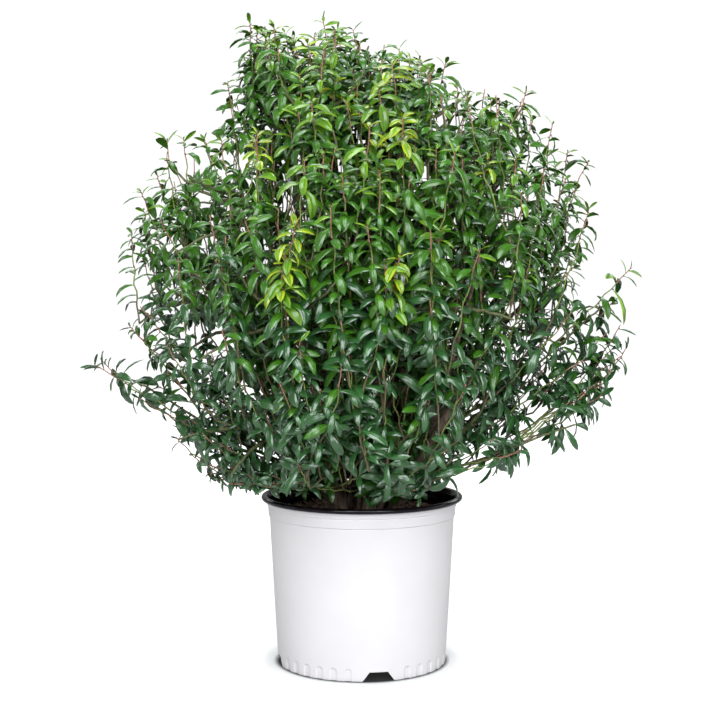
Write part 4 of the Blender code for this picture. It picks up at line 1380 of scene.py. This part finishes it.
def make_soil(material, chip_material):
    """Potting bark: a lumpy round top that drops to the wall, with flakes of bark strewn over it."""
    turns = np.radians(np.arange(0.0, 360.0, 360.0 / SOIL_COLUMNS))
    edge = BODY_RADIUS - WALL - SOIL_EDGE_GAP
    reach = np.linspace(0.002, edge, SOIL_ROWS)[:, None]
    level = np.zeros((SOIL_ROWS, SOIL_COLUMNS))
    flat = np.stack((reach * np.cos(turns), reach * np.sin(turns), level), axis=2).reshape(-1, 3)
    share = np.hypot(flat[:, 0], flat[:, 1]) / edge
    flat[:, 2] = SOIL_TOP - SOIL_EDGE_DROP * share**2 - SOIL_SINK
    flat[:, 2] += SOIL_LUMP * (0.5 * ripples(flat, 3, 0.022) + 0.3 * ripples(flat, 4, 0.008))
    flat[:, 2] = np.minimum(flat[:, 2], SOIL_TOP + SOIL_HIGHEST)
    wall = flat[-SOIL_COLUMNS:].copy()
    wall[:, 2] = SOIL_TOP - SOIL_SKIRT
    triangles = lathe_triangles(SOIL_ROWS + 1, SOIL_COLUMNS)[:, ::-1]
    middle = flat[:SOIL_COLUMNS, 2].mean()
    skin = with_pole(np.vstack((flat, wall)), triangles, SOIL_COLUMNS, middle, upward=True)
    soil = mesh_piece("potting_bark_top", *skin, material, "potting_bark")
    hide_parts("potting_bark")
    strew_flakes(edge - CHIP_MARGIN, chip_material)


def strew_flakes(edge, material):
    """Flakes of bark: skewed eight-cornered chips, strewn evenly over the top and lying nearly flat."""
    rng = np.random.default_rng(5)
    # These numbers shape nothing: drawing them keeps the flakes in their places
    rng.normal(0.0, 1.0, (CHIP_COUNT, 3))
    reach = edge * np.sqrt(rng.random(CHIP_COUNT))
    turn = rng.uniform(0.0, math.tau, CHIP_COUNT)
    centre = np.stack((reach * np.cos(turn), reach * np.sin(turn), np.full(CHIP_COUNT, SOIL_TOP)), axis=1)
    centre[:, 2] += rng.uniform(*CHIP_HEIGHTS, CHIP_COUNT)
    way = unit(rng.normal(0.0, 1.0, (CHIP_COUNT, 3)) * (1.0, 1.0, 0.35))
    side = unit(np.cross(way, UP + rng.normal(0.0, 0.3, (CHIP_COUNT, 3))))
    size = CHIP_LENGTH * rng.uniform(0.35, 1.0, CHIP_COUNT)[:, None]
    x = way * size * 0.5
    y = side * size * rng.uniform(*CHIP_WIDTHS, (CHIP_COUNT, 1))
    z = np.cross(way, side) * size * CHIP_THICKNESS
    points = np.stack([centre + x * a + y * b + z * c for a, b, c in CHIP_CORNERS], axis=1)
    mesh_piece("bark_flakes", *as_one(points, CHIP_FACES), material, "potting_bark", False)


def barked_limb(name, path, radii, sides, material):
    """A limb with ridges along it and rings at its nodes: its radius follows waves round and along."""
    span = lengths_along(path)
    places = max(int(span[-1] / LIMB_RING_SPACING), 8)
    even = np.linspace(0.0, span[-1], places)
    path = read_path(even, span, path)
    radii = np.interp(even, span, radii)
    ways = unit(np.gradient(path, axis=0))
    side = unit(np.cross(ways, unit(np.cross(ways[len(ways) // 2], UP + (0.01, 0.02, 0.0)))))
    ring = rings(side, np.cross(ways, side), sides)
    plain = path[:, None] + radii[:, None, None] * ring
    seed = sum(ord(letter) for letter in name)
    ridges = ripples(plain * (1.0, 1.0, RIDGE_STRETCH), seed, RIDGE_WAVE)
    heights = np.stack((np.zeros(places), np.zeros(places), even), axis=1)
    knots = ripples(heights, seed + 1, KNOT_WAVE)[:, None]
    relief = 1.0 + RIDGE_DEPTH * ridges + KNOT_DEPTH * knots
    points = path[:, None] + (radii[:, None] * relief)[:, :, None] * ring
    points = np.vstack((points.reshape(-1, 3), path[:1], path[-1:] + ways[-1:] * radii[-1]))
    item = mesh_piece(name + "_bark", points, ring_triangles(places, sides), material, "bark")
    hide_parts(name)


def leaf_kinds(leaves, vigour):
    """Which finish each leaf has: young, fresh, warm green above, cool green below, deep inside."""
    rng = np.random.default_rng(SEED)
    young, fresh, warm, cool, deep = range(len(LEAF_COLOURS))
    root = leaves["root"]
    count = len(root)
    number = leaves["number"] + rng.normal(0.0, 1.3, count)
    outward = outwardness(root)
    low = np.interp(root[:, 2], (0.40, 0.66), (-0.80, 0.0))
    flank = -0.25 * np.clip(np.abs(root[:, 0]) / 0.34 - 0.35, 0.0, 1.0)
    named = vigour >= MOST_VIGOUR
    glow = vigour + np.where(named, 0.0, low + flank)
    kind = np.where(root[:, 2] + rng.normal(0.0, 0.07, count) > WARM_FROM, warm, cool)
    # Leaves inside the crown take the deep finish, whose tone is painted shade and painted light
    kind[(outward < INNER_REACH) & (root[:, 2] < DEEP_TOP)] = deep
    kind[(number < 3.5) & (outward > 0.4) & (glow > 0.15)] = fresh
    kind[(number < 9.0) & (glow > 0.56)] = fresh
    kind[(number < 15.0) & named] = fresh
    kind[(number < 6.0) & (glow > 0.77)] = young
    kind[(number < 10.0) & named] = young
    return kind


def leaf_pieces(name, points, triangles, count, material):
    """Cuts one kind of small thing on count leaves into pieces that stay under the triangle limit."""
    each_points = len(points) // count
    each_triangles = len(triangles) // count
    per_piece = PIECE_LIMIT // each_triangles
    made = []
    for number, first in enumerate(range(0, count, per_piece)):
        last = min(first + per_piece, count)
        own = triangles[first * each_triangles:last * each_triangles] - first * each_points
        places = points[first * each_points:last * each_points]
        made.append(mesh_piece(f"{name}_{number + 1}", places, own, material, "leaves"))
    return made


def dress_plant():
    """Stems, boughs, twigs, shoots and thin stems, then the leaves and buds on them."""
    masses = {**tier_masses(), **outlying_masses()}
    give_spaces(masses)
    stems, shown_stems = grow_stems(masses)
    shown_boughs = grow_boughs(masses, stems)
    twigs, shoots = grow_shoots(masses)
    suckers = grow_suckers()
    bark = bark_finish("grey_brown_bark", (0.215, 0.150, 0.108), (0.070, 0.045, 0.032))
    young_bark = bark_finish("olive_bark", (0.160, 0.170, 0.072), (0.070, 0.074, 0.032), 420.0)
    for name, path, radii in shown_stems:
        barked_limb(name, path, radii, 20, bark)
    for name, path, radii in shown_boughs:
        outlying = name.removesuffix("_bough") in OUTLYING
        barked_limb(name, path, radii, 12, young_bark if outlying else bark)
    shares = np.linspace(0.0, 1.0, 12)
    radii = np.array([twig["radius"] + (TWIG_END_RADIUS - twig["radius"]) * shares for twig in twigs])
    mesh_piece("twigs", *tubes(shoot_paths(twigs, shares), radii, 7), young_bark, "bark")
    shoot_skins(shoots)
    paths = np.array([bend(*sucker["curve"], 14) for sucker in suckers])
    ends = [(sucker["radius"], max(SUCKER_TIP_RADIUS, sucker["radius"] * 0.5)) for sucker in suckers]
    radii = np.array([np.linspace(*pair, 14) for pair in ends])
    mesh_piece("suckers", *tubes(paths, radii, 9), bark, "bark")
    leaves, vigour = all_leaves(shoots, twigs, suckers, masses)
    first_piece = show_leaves(leaves, leaf_kinds(leaves, vigour))
    budded = (leaves["number"] < BUDDED_LEAVES) & (outwardness(leaves["root"]) > BUDDED_REACH)
    bud_finish = bark_finish("bud_scales", (0.230, 0.105, 0.070), (0.090, 0.038, 0.030), 500.0)
    mesh_piece("buds", *buds({key: value[budded] for key, value in leaves.items()}), bud_finish, "bark")
    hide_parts(*masses)


def shoot_skins(shoots):
    """Shoots in three ages: reddish at the tip, olive green below it, brown at the foot."""
    ages = (
        ("reddish_shoots", 0.80, 1.0, (0.420, 0.225, 0.150), (0.230, 0.105, 0.072)),
        ("green_shoots", 0.28, 0.81, (0.240, 0.290, 0.080), (0.120, 0.165, 0.040)),
        ("brown_shoots", 0.0, 0.29, (0.200, 0.165, 0.090), (0.095, 0.075, 0.040)),
    )
    for name, first, last, pale, dark in ages:
        share = np.linspace(first, last, 8)
        paths = shoot_paths(shoots, share)
        radii = SHOOT_FOOT_RADIUS + (SHOOT_TIP_RADIUS - SHOOT_FOOT_RADIUS) * share
        radii = np.repeat(radii[None], len(shoots), axis=0)
        mesh_piece(name, *tubes(paths, radii, SHOOT_SIDES), bark_finish(name, pale, dark, 500.0), "bark")


def all_leaves(shoots, twigs, suckers, masses):
    """The leaves of all limbs together, and for each leaf the vigour of its limb."""
    boughs = [
        {"curve": mass["bough"], "leaf_gap": BOUGH_LEAF_GAP, "vigour": 0.2, "rng": (0.3, 0.61, 0.5, 0.2)}
        for mass in masses.values() if "bough" in mass
    ]
    rows = [leaf_spiral(shoot) for shoot in shoots]
    for twig in twigs:
        rows.append(leaf_spiral(twig, 0.25, 3, TWIG_BARE_TIP if twig["leaf_gap"] == 1.0 else 0.0))
    rows += [leaf_spiral(sucker, 0.60) for sucker in suckers]
    rows += [leaf_spiral(bough, 0.30, 8) for bough in boughs]
    counts = [len(row["root"]) for row in rows]
    vigour = np.repeat([grown_limb["vigour"] for grown_limb in shoots + twigs + suckers + boughs], counts)
    return {key: np.concatenate([row[key] for row in rows]) for key in rows[0]}, vigour


def show_leaves(leaves, kinds):
    """Blades and midribs of each kind of leaf, with the blades' outer strips paler on new leaves."""
    first_piece = None
    inner = 2 * len(LEAF_ROWS) - 4
    for kind, (name, colour) in enumerate(LEAF_COLOURS.items()):
        chosen = {key: value[kinds == kind] for key, value in leaves.items()}
        count = len(chosen["root"])
        points, triangles, ribs = blades(chosen, PLAIN_LEAF_COLUMNS if name == "deep" else LEAF_COLUMNS)
        if name in EDGE_COLOURS:
            whole = triangles.reshape(count, 2, -1, 3)
            edges = whole[:, :, inner:].reshape(-1, 3)
            triangles = whole[:, :, :inner].reshape(-1, 3)
            edge_finish = leaf_finish(name + "_leaf_edge", EDGE_COLOURS[name])
            leaf_pieces(name + "_leaf_edges", points, edges, count, edge_finish)
        shine = COOL_SHINE if name == "cool" else ()
        blade_finish = leaf_finish(name + "_leaf", colour, *shine)
        made = leaf_pieces(name + "_leaves", points, triangles, count, blade_finish)
        rib_colour = tuple(min(channel * 1.7 + 0.02, 1.0) for channel in colour)
        rib_finish = leaf_finish(name + "_midrib", rib_colour, MIDRIB_GLOSS)
        leaf_pieces(name + "_midribs", *ribs, count, rib_finish)
        first_piece = first_piece or made[0]
    return first_piece


def floor_finish():
    """White floor that glows to the camera alone; a painted shadow darkens it in a ring round the pot."""
    def build(tree):
        place = add_node(tree, "ShaderNodeTexCoord").part("Object")
        flattened = {0: place, 1: (1.0, 1.0, 0.0)}
        level = add_node(tree, "ShaderNodeVectorMath", {"operation": "MULTIPLY"}, flattened)
        away = add_node(tree, "ShaderNodeVectorMath", {"operation": "LENGTH"}, {0: level}).part("Value")
        seen = add_node(tree, "ShaderNodeLightPath").part("Is Camera Ray")
        # Painted contact shadow: a dark narrow ring round the pot's foot, in both the colour and the glow
        ring = rise(tree, away, 0.115, 0.125, 0.06, 1.0)
        # Painted shade round the pot: the glow is lower near its foot
        near = rise(tree, away, 0.118, 0.160, 0.30, 0.62)
        far = rise(tree, away, 0.25, 1.60, 0.0, 0.40)
        # The glow carries the painted contact shadow and the painted shade near the pot
        glow = seen * ring * (near + far)
        return {
            "Base Color": grey(tree, ring * 0.50),
            "Emission Color": grey(tree, glow),
        }
    return finish("white_floor", build, Roughness=0.9, Specular_IOR_Level=0.0, Emission_Strength=1.0)


def rise(tree, value, first, last, low, high):
    """A smooth step from low to high while a value goes from first to last."""
    settings = {"interpolation_type": "SMOOTHSTEP"}
    values = {"Value": value, "From Min": first, "From Max": last, "To Min": low, "To Max": high}
    return add_node(tree, "ShaderNodeMapRange", settings, values)


def grey(tree, value):
    """A grey of one brightness."""
    return add_node(tree, "ShaderNodeCombineColor", None, {0: value, 1: value, 2: value})


def make_stage():
    """A pale floor with a painted shadow round the pot, a white surround and soft studio lights."""
    mesh = bpy.data.meshes.new("floor")
    front, reach, level = FLOOR_FRONT, FLOOR_REACH, FLOOR_LEVEL
    corners = [(-reach, front, level), (reach, front, level), (reach, reach, level), (-reach, reach, level)]
    mesh.from_pydata(corners, [], [(0, 1, 2, 3)])
    mesh.materials.append(floor_finish())
    add_object("floor", mesh)
    world = bpy.data.worlds.new("studio")
    bpy.context.scene.world = world
    world.use_nodes = True
    tree = world.node_tree
    seen = add_node(tree, "ShaderNodeLightPath").part("Is Camera Ray")
    strength = seen * (STUDIO_WHITE - STUDIO_FILL) + STUDIO_FILL
    tree.nodes["Background"].inputs["Color"].default_value = (1.0, 1.0, 1.0, 1.0)
    tree.links.new(strength.output, tree.nodes["Background"].inputs["Strength"])
    for name, (place, aim, size, power) in LIGHTS.items():
        add_light(name, place, aim, size, power)


def add_light(name, place, aim, size, power):
    """A square lamp that faces the axis at one height."""
    light = bpy.data.lights.new(name, "AREA")
    light.shape = "SQUARE"
    light.size = size
    light.energy = power
    light.color = KEY_COLOUR
    item = add_object(name, light)
    item.location = place
    back = unit(np.array(place) - (0.0, 0.0, aim))
    item.rotation_euler = (math.acos(back[2]), 0.0, math.atan2(back[0], -back[1]))


def make_camera():
    """Long lens, a little above the crown's middle, looking slightly down."""
    camera = bpy.data.cameras.new("camera")
    camera.lens = CAMERA_LENS
    camera.sensor_width = 36.0
    item = add_object("camera", camera)
    item.location = (CAMERA_SIDE, -VIEW_DISTANCE, VIEW_HEIGHT)
    item.rotation_euler = (math.pi / 2.0 - CAMERA_TILT, 0.0, 0.0)
    bpy.context.scene.camera = item


def main():
    """Loads the frame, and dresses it."""
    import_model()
    bpy.context.view_layer.update()
    pot = make_pot(white_plastic(), black_plastic())
    make_soil(bark_mix("bark_mix", (0.190, 0.110, 0.072), (0.036, 0.021, 0.014)),
              bark_mix("bark_flake", (0.380, 0.240, 0.160), (0.090, 0.050, 0.032)))
    dress_plant()
    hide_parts("pot")
    make_stage()
    make_camera()
    bpy.context.scene.view_settings.view_transform = "Standard"
    bpy.context.view_layer.update()


main()
